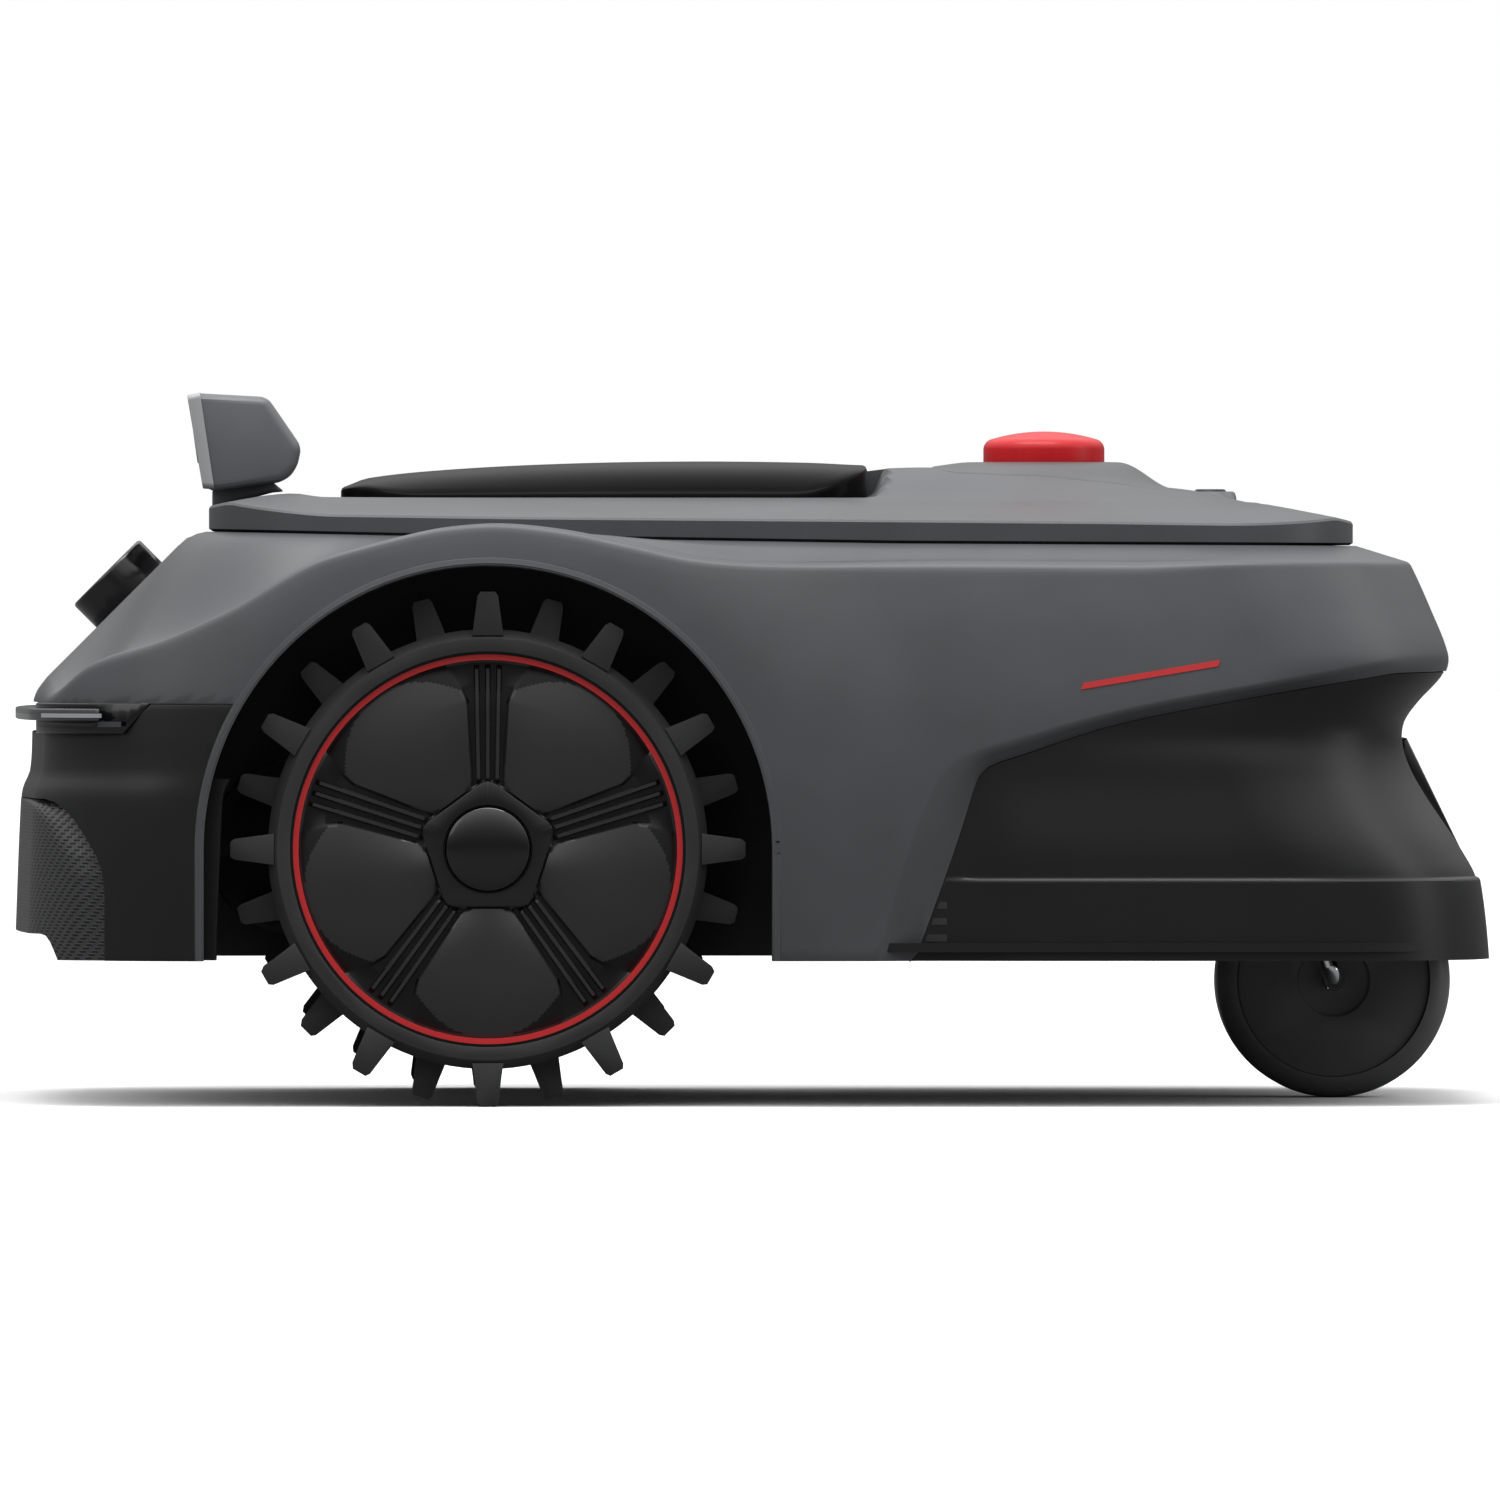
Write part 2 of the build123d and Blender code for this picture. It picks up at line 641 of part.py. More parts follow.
def make_tyre():
    """Tyre about the Y axis with its outer face at Y = 0 and its body on the -Y side."""
    profile = side_face_yz([(0, rim_radius), (0, tyre_body_radius - 3.0), (-3.0, tyre_body_radius),
                            (3.0 - tyre_width, tyre_body_radius), (-tyre_width, tyre_body_radius - 3.0),
                            (-tyre_width, rim_radius)])
    tyre = revolve(profile, axis=Axis.Y)
    for index in range(lug_count):
        offset_y = 0.0 if index % 2 == 0 else -lug_stagger
        bar = Rot(0, index * 360.0 / lug_count, 0) * Pos(0, offset_y, 0) * lug()
        tyre = tyre + bar
    return tyre


def side_face_yz(points):
    return make_face(Polyline(*[(0, y, z) for y, z in points], close=True))


rim_face_inset = 2.0


def make_rim():
    """Dished wheel disc with five spoke channels, ribs, hub surround and boss."""
    face = -rim_face_inset
    barrel_in = 3.0 - tyre_width
    ring_seat = rim_radius - 2.9
    outer = side_face(
        [(0.0, face - 4.0), (0.0, face - 1.0), (18.0, face - 1.0)],
        ThreePointArc((18.0, 0, face - 1.0), (42.0, 0, face + 0.6), (ring_seat, 0, face - 1.4)),
        [(ring_seat, face - 1.4), (ring_seat, face - 3.4), (rim_radius, face - 3.4), (rim_radius, barrel_in),
         (rim_radius - wall, barrel_in), (rim_radius - wall, face - 7.0), (14.0, face - 5.0),
         (14.0, -tyre_width), (0.0, -tyre_width), (0.0, face - 4.0)],
    )
    disc = revolve(outer, axis=Axis.Z)
    tip = rim_radius - 4.5
    for index in range(spoke_count):
        turn = Rot(0, 0, index * 360.0 / spoke_count)
        groove_plan = make_face(Polyline((19.0, 5.4), (50.0, 6.8), (tip, 12.6), (tip, -12.6), (50.0, -6.8), (19.0, -5.4),
                                         close=True))
        groove = Pos(0, 0, face - 2.6) * extrude(groove_plan, amount=6.0)
        disc = disc - turn * groove
        for offset_y in (-3.7, 0.0, 3.7):
            rib = Pos((19.0 + tip) / 2, offset_y, face - 2.7) * Box(
                tip - 19.0, 1.8, 1.5, align=(Align.CENTER, Align.CENTER, Align.MIN))
            disc = disc + turn * rib
    surround = Pos(0, 0, face - 2.7) * extrude(RegularPolygon(hub_vertex_radius, 5), amount=3.2)
    upright = [e for e in surround.edges() if abs(e.center().Z - (face - 1.1)) < 0.2]
    surround = fillet(upright, 4.0)
    disc = disc + surround
    disc = disc - post(hub_cap_radius + 0.1, 0, 0, face - 1.5, 5.0)
    disc = disc - post(axle_radius, 0, 0, -tyre_width - 5, -15.0)
    return Rot(-90, 0, 0) * Rot(0, 0, -90) * disc


def make_wheel_parts():
    """Left wheel pieces, outer face at Y = 0, turning about Y."""
    tyre = make_tyre()
    rim = make_rim()
    face = -rim_face_inset
    seat = rim_radius - 2.9
    ring = pin_y(seat + ring_width, 0, 0, face - 3.4, face - 0.4) - pin_y(seat, 0, 0, face - 5, 0)
    cap_profile = side_face(
        [(0, face - 1.5), (hub_cap_radius, face - 1.5), (hub_cap_radius, face - 0.6)],
        dome_arc(hub_cap_radius, face - 0.6, face + 1.9),
        [(0, face + 1.9), (0, face - 1.5)],
    )
    cap = Rot(-90, 0, 0) * revolve(cap_profile, axis=Axis.Z)
    shaft_end = tub_half_width - gearbox_length + 4.0 - tyre_outer_y
    axle = pin_y(axle_radius, 0, 0, shaft_end, -15.0)
    return {"tyre": tyre, "rim": rim, "accent_ring": ring, "hub_cap": cap, "axle": axle}


# ================================================================ caster
def make_caster():
    """Bent-rod fork with its stem, and the wheel it carries."""
    path = FilletPolyline(
        (caster_x, caster_width / 2 - 12.0, caster_radius),
        (caster_x, fork_y, caster_radius),
        (stem_x, fork_y, crown_z),
        (stem_x, -fork_y, crown_z),
        (caster_x, -fork_y, caster_radius),
        (caster_x, 12.0 - caster_width / 2, caster_radius),
        radius=5.0)
    start = Plane(origin=path @ 0, z_dir=path % 0)
    rod = sweep(start * Circle(caster_rod_radius), path=path)
    stem_top = well_ceiling + 32.0
    stem = post(caster_stem_radius, stem_x, 0, crown_z, stem_top)
    collar = post(caster_stem_radius + 3.0, stem_x, 0, crown_z, well_ceiling - 0.6)
    fork = rod + stem + collar
    half = caster_width / 2
    shoulder = caster_shoulder
    tyre_profile = caster_section(half, shoulder)
    tyre = Pos(caster_x, 0, caster_radius) * revolve(tyre_profile, axis=Axis.Y)
    hub = pin_y(caster_hub_radius, 0, 0, -half + 2.0, half - 2.0)
    hub = hub - pin_y(12.2, 0, 0, half - 4.0, half) - pin_y(12.2, 0, 0, -half, 4.0 - half)
    hub = hub - pin_y(caster_rod_radius + 0.1, 0, 0, -half, half)
    hub = Pos(caster_x, 0, caster_radius) * hub
    return fork, tyre, hub


def caster_section(half, shoulder):
    """Caster tread section with round shoulders."""
    inner = caster_hub_radius
    top = caster_radius
    drop = top - inner
    section = [
        Polyline((0, -half, inner), (0, half, inner)),
        ThreePointArc((0, half, inner), (0, half - shoulder * 0.3, inner + drop * 0.72), (0, half - shoulder, top)),
        Polyline((0, half - shoulder, top), (0, shoulder - half, top)),
        ThreePointArc((0, shoulder - half, top), (0, shoulder * 0.3 - half, inner + drop * 0.72), (0, -half, inner)),
    ]
    return make_face(section)


def make_caster_bearing():
    """Flanged bearing block over the caster well."""
    low = well_ceiling + tub_wall
    block_shape = post(16.0, stem_x, 0, low, low + 26.0) + post(24.0, stem_x, 0, low, low + 4.0)
    return block_shape - post(caster_stem_radius + running_gap, stem_x, 0, low - 1, low + 40)


# ================================================================ chassis
def make_chassis_pan():
    """Underside plate, tub, blade chamber and caster well in one moulding."""
    plate = plan_prism(wall + slide_gap, tub_floor, tub_floor + tub_wall)
    wheel_cut = both_sides(block(axle_x - arch_radius - 8, axle_x + arch_radius + 4,
                                 tub_half_width, side_y + 5, DOWN, 240))
    tub = block(tub_rear, tub_front, -tub_half_width, tub_half_width, tub_floor, tub_top)
    hollow = block(tub_rear + tub_wall, tub_front - tub_wall, tub_wall - tub_half_width,
                   tub_half_width - tub_wall, tub_floor + tub_wall, tub_top + 5)
    pan = plate + (tub - hollow)
    bumper_room = plan_prism(0, DOWN, 60) - plan_prism(14.0, DOWN - 1, 61)
    pan = pan - (bumper_room & block(nose_x - 45, nose_x + 5, -side_y, side_y, DOWN, 61))
    pan = pan & plan_stack(wall + slide_gap)
    drum = post(chamber_radius + tub_wall, deck_x, 0, tub_floor, chamber_ceiling + tub_wall)
    well_radius = stem_x - caster_x + caster_radius + 8.0
    well = post(well_radius + tub_wall, stem_x, 0, tub_floor, well_ceiling + tub_wall)
    pan = pan + ((drum + well) & plan_stack(waist_depth + wall + slide_gap))
    pan = pan - post(chamber_radius, deck_x, 0, DOWN, chamber_ceiling)
    pan = pan - post(well_radius, stem_x, 0, DOWN, well_ceiling)
    pan = pan - post(deck_motor_radius + 1.5, deck_x, 0, DOWN, tub_top)
    pan = pan - post(caster_stem_radius + 1.0, stem_x, 0, DOWN, 240)
    bearing_seat = both_sides(pin_y(12.0, axle_x, axle_z, tub_half_width - tub_wall - 1, tub_half_width + 5))
    return pan - wheel_cut - bearing_seat


def make_chassis_lid():
    """Shallow cover over the tub with four board posts and four mount seats."""
    low = tub_top + 1.5
    outer = block(tub_rear, tub_front, -tub_half_width, tub_half_width, low, lid_top)
    inner = block(tub_rear + tub_wall, tub_front - tub_wall, tub_wall - tub_half_width,
                  tub_half_width - tub_wall, low - 1, lid_top - tub_wall)
    lid = outer - inner
    for x in (deck_x - 68.0, deck_x + 78.0):
        for y in (-70.0, 70.0):
            lid = lid + post(4.0, x, y, 166.0, lid_top - tub_wall)
    return lid


def make_seal():
    """Rubber gasket between tub and lid."""
    ring = block(tub_rear, tub_front, -tub_half_width, tub_half_width, tub_top, tub_top + 1.5)
    hole = block(tub_rear + tub_wall, tub_front - tub_wall, tub_wall - tub_half_width,
                 tub_half_width - tub_wall, tub_top - 1, tub_top + 5)
    return ring - hole


def make_board():
    board = block(deck_x - 75.0, deck_x + 85.0, -78.0, 78.0, 164.4, 166.0)
    chips = block(deck_x - 40, deck_x - 10, -15, 15, 162.0, 164.4)
    chips = chips + both_sides(block(deck_x + 20, deck_x + 60, 20, 60, 161.0, 164.4))
    return board + chips


def make_body_mounts():
    """Rubber mounts between the lid and the shell."""
    group = []
    for x in (tub_rear + 14.0, axle_x + 62.0):
        for y in (-119.5, 119.5):
            group.append(post(6.0, x, y, lid_top, 184.0))
    return group


def gearbox_plan(radius, y0, y1):
    """Two overlapping rounds joined by straight sides, lying across the machine."""
    return (pin_y(radius, axle_x, axle_z, y0, y1) + pin_y(radius, motor_x, axle_z, y0, y1)
            + block(axle_x, motor_x, y0, y1, axle_z - radius, axle_z + radius))


def make_gearbox():
    """Left gearbox inside the tub wall with its round cover outside it."""
    out = tub_half_width - tub_wall
    box = gearbox_plan(gearbox_radius, out - gearbox_length, out)
    box = box - pin_y(axle_radius + running_gap, axle_x, axle_z, out - gearbox_length - 1, out + 1)
    box = box - pin_y(12.0, axle_x, axle_z, out - 4.0, out + 1)
    cover = gearbox_plan(gearbox_radius, tub_half_width, tub_half_width + 3.5)
    cover = cover - pin_y(12.0, axle_x, axle_z, 0, side_y)
    motor = pin_y(drive_motor_radius, motor_x, axle_z, out - gearbox_length - drive_motor_length, out - gearbox_length)
    return box, cover, motor


def make_axle_bearing():
    out = tub_half_width - tub_wall
    ring = pin_y(12.0, axle_x, axle_z, out - 4.0, tub_half_width + 3.5)
    return ring - pin_y(axle_radius + running_gap, axle_x, axle_z, 0, side_y)


deck_ceiling_top = chamber_ceiling + tub_wall
motor_base = disc_height + disc_thickness + 3.0
motor_top = motor_base + deck_motor_height
carrier_low = motor_top
carrier_high = motor_top + 5.0
bridge_low = carrier_high + 27.0


def make_deck():
    """Blade motor under its carrier plate, and the fixed parts that guide it."""
    bore = blade_shaft_radius + running_gap
    motor = post(deck_motor_radius, deck_x, 0, motor_base, motor_top)
    motor = motor - post(bore, deck_x, 0, motor_base - 1, motor_top - 8.0)
    carrier = post(deck_motor_radius + 2.0, deck_x, 0, carrier_low, carrier_high)
    carrier = carrier + block(deck_x - 9.0, deck_x + 9.0, -guide_rod_offset - 9, guide_rod_offset + 9,
                              carrier_low, carrier_high)
    carrier = carrier + block(deck_x, deck_x + height_screw_offset + 9, -9, 9, carrier_low, carrier_high)
    for y in (-guide_rod_offset, guide_rod_offset):
        carrier = carrier - post(guide_rod_radius + running_gap, deck_x, y, 0, 240)
    screw_x = deck_x + height_screw_offset
    carrier = carrier - post(height_screw_radius + running_gap, screw_x, 0, 0, 240)
    rods = [post(guide_rod_radius, deck_x, y, deck_ceiling_top, bridge_low)
            for y in (-guide_rod_offset, guide_rod_offset)]
    bridge = block(deck_x - 14, deck_x + 14, tub_wall - tub_half_width, tub_half_width - tub_wall,
                   bridge_low, bridge_low + 4.0)
    bridge = bridge + block(deck_x, screw_x + 14, -14, 14, bridge_low, bridge_low + 4.0)
    height_motor = post(12.0, screw_x, 0, bridge_low - 16.0, bridge_low)
    height_motor = height_motor - post(height_screw_radius + running_gap, screw_x, 0, 0, bridge_low - 6.0)
    screw = post(height_screw_radius, screw_x, 0, deck_ceiling_top + 0.3, bridge_low - 6.4)
    return motor, carrier, rods, bridge, height_motor, screw


def blade_pivot(index):
    """Centre of one blade screw."""
    angle = radians(index * 360.0 / blade_count)
    reach = disc_radius - blade_pivot_inset
    return deck_x + reach * cos(angle), reach * sin(angle)


blade_top = disc_height - 1.0


def make_blades():
    """Spinning disc with shaft, three shoulder screws and three free blades."""
    disc = post(disc_radius, deck_x, 0, disc_height, disc_height + disc_thickness)
    disc = disc + post(16.0, deck_x, 0, disc_height, motor_base - 0.6)
    disc = fillet(disc.edges().group_by(Axis.Z)[0], 1.0)
    disc = disc + post(blade_shaft_radius, deck_x, 0, motor_base - 0.6, motor_top - 9.0)
    screws = []
    blades = []
    for index in range(blade_count):
        x, y = blade_pivot(index)
        shank = post(blade_pivot_radius, x, y, blade_top - blade_thickness - 1.0, disc_height)
        head = post(blade_pivot_radius + 2.5, x, y, blade_top - blade_thickness - 3.4,
                    blade_top - blade_thickness - 0.6)
        screws.append(shank + head)
        length_centre = blade_length / 2 - blade_pivot_inset
        plan = RectangleRounded(blade_length, blade_width, 3.0)
        bar = Pos(length_centre, 0, blade_top - blade_thickness) * extrude(plan, amount=blade_thickness)
        bar = bar - post(blade_pivot_radius + 0.3, 0, 0, 0, 100)
        turn = Rot(0, 0, index * 360.0 / blade_count)
        blades.append(Pos(x, y, 0) * turn * bar)
    return disc, screws, blades


def make_battery():
    front = tub_front - tub_wall - 4.0
    pack = block(front - 112.0, front, -80.0, 80.0, 120.0, 153.0)
    return fillet(pack.edges().filter_by(Axis.Z), 6.0)


def tail_face(z):
    """X of the sloped tail face at a height between the skirt and the waist."""
    slope = (waist_setback - 4.0) / (waist_low - skirt_top)
    return tail_x + 4.0 + waist_depth + (z - skirt_top) * slope


def plate_face(z):
    """X of the contact plate's outer face at a height."""
    slope = (waist_setback - plate_setback) / (plate_top - plate_low)
    return tail_x + plate_setback + (z - plate_low) * slope


def make_charging():
    """Sloped contact plate on the tail with two flush contact strips."""
    foot = plate_low - 1.3
    plate = side_slab([(tail_face(waist_low), plate_top - 1.5), (tail_face(waist_low), waist_low),
                       (tail_face(foot), foot), (plate_face(plate_low), plate_low),
                       (plate_face(plate_top), plate_top)], -plate_half_width, plate_half_width)
    low = plate_low + 6.4
    high = plate_top - 5.8
    strips = []
    for y in (-contact_offset, contact_offset):
        strip = side_slab([(plate_face(high), high), (plate_face(low), low),
                           (plate_face(low) + contact_depth, low), (plate_face(high) + contact_depth, high)],
                          y - contact_half_width, y + contact_half_width)
        plate = plate - strip
        strips.append(strip)
    return plate, strips


def make_screws():
    """Pan-head screws under the plate, and those of the gearbox covers."""
    under = []
    for x, y in ((nose_x - 60, 70), (tub_rear - 14, 130), (tub_rear - 14, 70), (tail_x + 90, 120)):
        for side in (-1, 1):
            head = post(4.0, x, side * y, tub_floor - 2.4, tub_floor)
            under.append(head)
    covers = []
    for side in (-1, 1):
        for angle in (70, 0, -70):
            x = motor_x + (gearbox_radius - 5.0) * cos(radians(angle))
            z = axle_z + (gearbox_radius - 5.0) * sin(radians(angle))
            y0 = side * (tub_half_width + 3.5)
            covers.append(pin_y(3.0, x, z, y0, y0 + side * 1.6))
    return under, covers


# ================================================================ all nodes
def build_nodes():
    nodes = {}
    body, nose, tail = make_shells()
    nodes["body_shell"] = body
    nodes["front_shell"] = nose
    nodes["rear_shell"] = tail
    nodes["front_bumper"] = make_bumper()
    nodes["light_bar_housing"], nodes["light_bar_lens"] = make_light_bar()
    nodes["top_panel"], nodes["tinted_window"], nodes["control_panel"] = make_top_group()
    nodes["stop_button"], nodes["power_button"] = make_buttons()
    (nodes["camera_bezel"], nodes["camera_glass"], nodes["camera_housing"], nodes["camera_rear_cap"],
     nodes["camera_lenses"], nodes["camera_neck"]) = make_camera()
    nodes["sensor_pod"], nodes["sensor_pod_lens"] = make_sensor_pod()

    wheel = make_wheel_parts()
    place = Pos(axle_x, tyre_outer_y, axle_z)
    for name, shape in wheel.items():
        nodes["left_" + name] = place * shape
        nodes["right_" + name] = mirrored(place * shape)

    nodes["caster_fork"], nodes["caster_tyre"], nodes["caster_hub"] = make_caster()
    nodes["caster_bearing"] = make_caster_bearing()

    nodes["chassis_pan"] = make_chassis_pan()
    nodes["chassis_lid"] = make_chassis_lid()
    nodes["chassis_seal"] = make_seal()
    nodes["main_board"] = make_board()
    nodes["battery_pack"] = make_battery()
    nodes["body_mounts"] = make_body_mounts()
    box, cover, motor = make_gearbox()
    bearing = make_axle_bearing()
    nodes["drive_motors"] = both_sides(motor)
    nodes["axle_bearings"] = both_sides(bearing)
    for name, shape in (("gearbox", box), ("gearbox_cover", cover)):
        nodes["left_" + name] = shape
        nodes["right_" + name] = mirrored(shape)

    (nodes["deck_motor"], nodes["deck_carrier"], nodes["deck_guide_rods"], nodes["deck_bridge"],
     nodes["height_motor"], nodes["height_screw"]) = make_deck()
    disc, screws, blades = make_blades()
    nodes["blade_disc"] = disc
    nodes["blade_screws"] = screws
    for index, blade in enumerate(blades):
        nodes["blade_%d" % (index + 1)] = blade
    nodes["charging_plate"], nodes["charging_contacts"] = make_charging()
    nodes["underside_screws"], nodes["gearbox_cover_screws"] = make_screws()
    return nodes


def flatten(shape):
    """All solids of a shape or of a list of shapes."""
    if isinstance(shape, (list, tuple)):
        solids = []
        for item in shape:
            solids.extend(item.solids())
        return solids
    return list(shape.solids())


def main():
    os.makedirs("parts", exist_ok=True)
    for name, shape in build_nodes().items():
        solids = flatten(shape)
        whole = solids[0] if len(solids) == 1 else Compound(solids)
        export_step(whole, "parts/" + name + ".step")


main()
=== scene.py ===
"""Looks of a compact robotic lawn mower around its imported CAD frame."""
from contextlib import contextmanager
from math import acos, asin, cos, exp, hypot, pi, radians, sin

import bpy
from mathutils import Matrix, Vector


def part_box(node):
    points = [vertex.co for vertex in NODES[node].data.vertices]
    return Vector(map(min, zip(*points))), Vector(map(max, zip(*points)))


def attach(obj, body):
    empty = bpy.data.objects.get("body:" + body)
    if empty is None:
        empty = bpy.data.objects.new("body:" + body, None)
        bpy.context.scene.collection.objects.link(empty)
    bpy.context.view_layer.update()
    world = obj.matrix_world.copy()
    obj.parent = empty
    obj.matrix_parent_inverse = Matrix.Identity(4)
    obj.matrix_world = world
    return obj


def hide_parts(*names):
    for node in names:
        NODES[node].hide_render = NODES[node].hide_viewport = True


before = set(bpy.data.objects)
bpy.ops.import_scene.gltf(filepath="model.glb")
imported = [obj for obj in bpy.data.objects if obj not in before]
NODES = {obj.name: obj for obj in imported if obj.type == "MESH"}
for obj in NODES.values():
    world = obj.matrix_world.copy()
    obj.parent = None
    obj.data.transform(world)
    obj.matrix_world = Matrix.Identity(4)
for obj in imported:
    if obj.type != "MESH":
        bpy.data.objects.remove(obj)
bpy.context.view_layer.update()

MM = 0.001
NOSE_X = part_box("front_bumper")[1][0] / MM
TAIL_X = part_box("rear_shell")[0][0] / MM
SIDE_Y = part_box("body_shell")[1][1] / MM
TYRE_LOW, TYRE_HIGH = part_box("left_tyre")
AXLE_X = (TYRE_LOW[0] + TYRE_HIGH[0]) / 2 / MM
AXLE_Z = (TYRE_LOW[2] + TYRE_HIGH[2]) / 2 / MM
TYRE_FACE_Y = TYRE_HIGH[1] / MM
SKIRT_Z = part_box("rear_shell")[0][2] / MM
STOP_LOW, STOP_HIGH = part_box("stop_button")
STOP_X = (STOP_LOW[0] + STOP_HIGH[0]) / 2 / MM
STOP_R = (STOP_HIGH[0] - STOP_LOW[0]) / 2 / MM
POWER_LOW, POWER_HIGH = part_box("power_button")
POWER_X = (POWER_LOW[0] + POWER_HIGH[0]) / 2 / MM
PANEL_LOW, PANEL_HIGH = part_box("top_panel")
PANEL_FRONT = PANEL_HIGH[0] / MM
PANEL_REAR = PANEL_LOW[0] / MM
PANEL_HALF = PANEL_HIGH[1] / MM
WINDOW_LOW, WINDOW_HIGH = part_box("tinted_window")

SHELL_WALL = 3.0
BLACK_WALL = 2.6
NOSE_WALL = 2.4
TUB_Y = 120.0
LINER_FACES = (121.4, 123.0)
AXLE_HOLE_R = 8.0
ARCH_R = 95.3
ARCH_LIP = 2.9
NOSE_CORNER = 62.0
NOSE_BOW = 12.0
TAIL_CORNER = 65.0
PANEL_CORNER = 48.0
FAR_Y = SIDE_Y + 20
TWILL_CELL = 0.0011
SIDES = ((1, "left"), (-1, "right"))


# ---------------- small maths
def mix(a, b, t):
    return a + (b - a) * t


def ease(low, high, value):
    """Smooth step from 0 at low to 1 at high."""
    t = min(1.0, max(0.0, (value - low) / (high - low)))
    return t * t * (3 - 2 * t)


def curve(points, x):
    """Smooth curve through (x, value) knots with rising x."""
    if x <= points[0][0]:
        return points[0][1]
    for index in range(len(points) - 1):
        x0, v0 = points[index]
        x1, v1 = points[index + 1]
        if x <= x1:
            before = points[index - 1] if index else (2 * x0 - x1, v0)
            after = points[index + 2] if index + 2 < len(points) else (2 * x1 - x0, v1)
            m0 = (v1 - before[1]) / (x1 - before[0]) * (x1 - x0)
            m1 = (after[1] - v0) / (after[0] - x0) * (x1 - x0)
            t = (x - x0) / (x1 - x0)
            return ((2 * t ** 3 - 3 * t * t + 1) * v0 + (t ** 3 - 2 * t * t + t) * m0
                    + (3 * t * t - 2 * t ** 3) * v1 + (t ** 3 - t * t) * m1)
    return points[-1][1]


def line(points, x):
    """Straight runs through (x, value) knots with rising x."""
    if x <= points[0][0]:
        return points[0][1]
    for (x0, v0), (x1, v1) in zip(points, points[1:]):
        if x <= x1:
            return mix(v0, v1, (x - x0) / (x1 - x0))
    return points[-1][1]


# ---------------- materials
class Shader:
    """A node tree being built: a socket takes a constant or another node's output."""

    def __init__(self, tree):
        self.tree = tree

    def feed(self, node, sockets):
        for socket, value in sockets.items():
            if isinstance(value, bpy.types.NodeSocket):
                self.tree.links.new(value, node.inputs[socket])
            else:
                node.inputs[socket].default_value = value
        return node

    def add(self, kind, sockets=None, **settings):
        node = self.tree.nodes.new("ShaderNode" + kind)
        for setting, value in settings.items():
            setattr(node, setting, value)
        return self.feed(node, sockets or {})

    def place(self):
        return self.add("TexCoord").outputs["Object"]

    def noise(self, scale, detail, source):
        return self.add("TexNoise", {"Scale": scale, "Detail": detail, "Vector": source}).outputs["Fac"]

    def between(self, factor, low, high, start=0.35, end=0.65):
        """Colour from low to high while the factor goes from start to end."""
        ramp = self.add("ValToRGB", {"Fac": factor})
        for element, position, colour in zip(ramp.color_ramp.elements, (start, end), (low, high)):
            element.position = position
            element.color = (*colour, 1)
        return ramp.outputs["Color"]

    def ranged(self, value, low, high, start=0.0, end=1.0, **settings):
        """Value carried from start...end over to low...high."""
        sockets = {"From Min": start, "From Max": end, "To Min": low, "To Max": high, "Value": value}
        return self.add("MapRange", sockets, **settings).outputs["Result"]

    def blend(self, factor, low, high):
        return self.add("Mix", {0: factor, 6: low, 7: high}, data_type="RGBA").outputs[2]

    def bump(self, height, strength, distance):
        sockets = {"Strength": strength, "Distance": distance, "Height": height}
        return self.add("Bump", sockets).outputs["Normal"]


def new_material(name):
    material = bpy.data.materials.new(name)
    material.use_nodes = True
    tree = material.node_tree
    return material, Shader(tree), tree.nodes["Principled BSDF"]


def moulded(name, colour, rough, grain=1800.0, grain_depth=0.00004, coat=0.0, spread=0.12, specular=0.5,
            dust=0.0, edge_highlight=0.0):
    """Moulded plastic: fine spark-eroded grain, faint colour drift, edges lightened as a painted highlight.
    """
    material, shader, surface = new_material(name)
    place = shader.place()
    drift = shader.noise(14.0, 4.0, place)
    low = tuple(c * (1 - spread) for c in colour)
    high = tuple(min(1.0, c * (1 + spread) + dust) for c in colour)
    base = shader.between(drift, low, high)
    # Painted highlight: the colour is lightened along edges, where the rounded normal turns away from the
    # flat one.
    if edge_highlight:
        rounded = shader.add("Bevel", {"Radius": 0.0012}, samples=4).outputs["Normal"]
        flat = shader.add("NewGeometry").outputs["Normal"]
        dot = shader.add("VectorMath", {0: rounded, 1: flat}, operation="DOT_PRODUCT").outputs["Value"]
        highlight_colour = (*[min(1.0, c * 2.2 + 0.02) for c in colour], 1)
        base = shader.blend(shader.ranged(dot, 0.0, edge_highlight, 0.98, 0.75), base, highlight_colour)
    shader.feed(surface, {
        "Base Color": base,
        "Roughness": shader.ranged(drift, max(0.03, rough - 0.06), min(1.0, rough + 0.06)),
        "Normal": shader.bump(shader.noise(grain, 2.0, place), 0.35, grain_depth),
        "Specular IOR Level": specular,
        "Coat Weight": coat,
        "Coat Roughness": 0.08,
    })
    return material


def metal(name, colour, rough, streak=(900.0, 900.0, 60.0)):
    """Bare metal with fine brushing and slight tarnish."""
    material, shader, surface = new_material(name)
    place = shader.place()
    stretched = shader.add("Mapping", {"Scale": streak, "Vector": place}).outputs["Vector"]
    brush = shader.noise(1.0, 3.0, stretched)
    stain = shader.noise(40.0, 5.0, place)
    shader.feed(surface, {
        "Base Color": shader.between(stain, tuple(c * 0.72 for c in colour), colour, 0.3, 0.6),
        "Roughness": shader.ranged(brush, rough * 0.6, rough * 1.4),
        "Metallic": 1.0,
    })
    return material


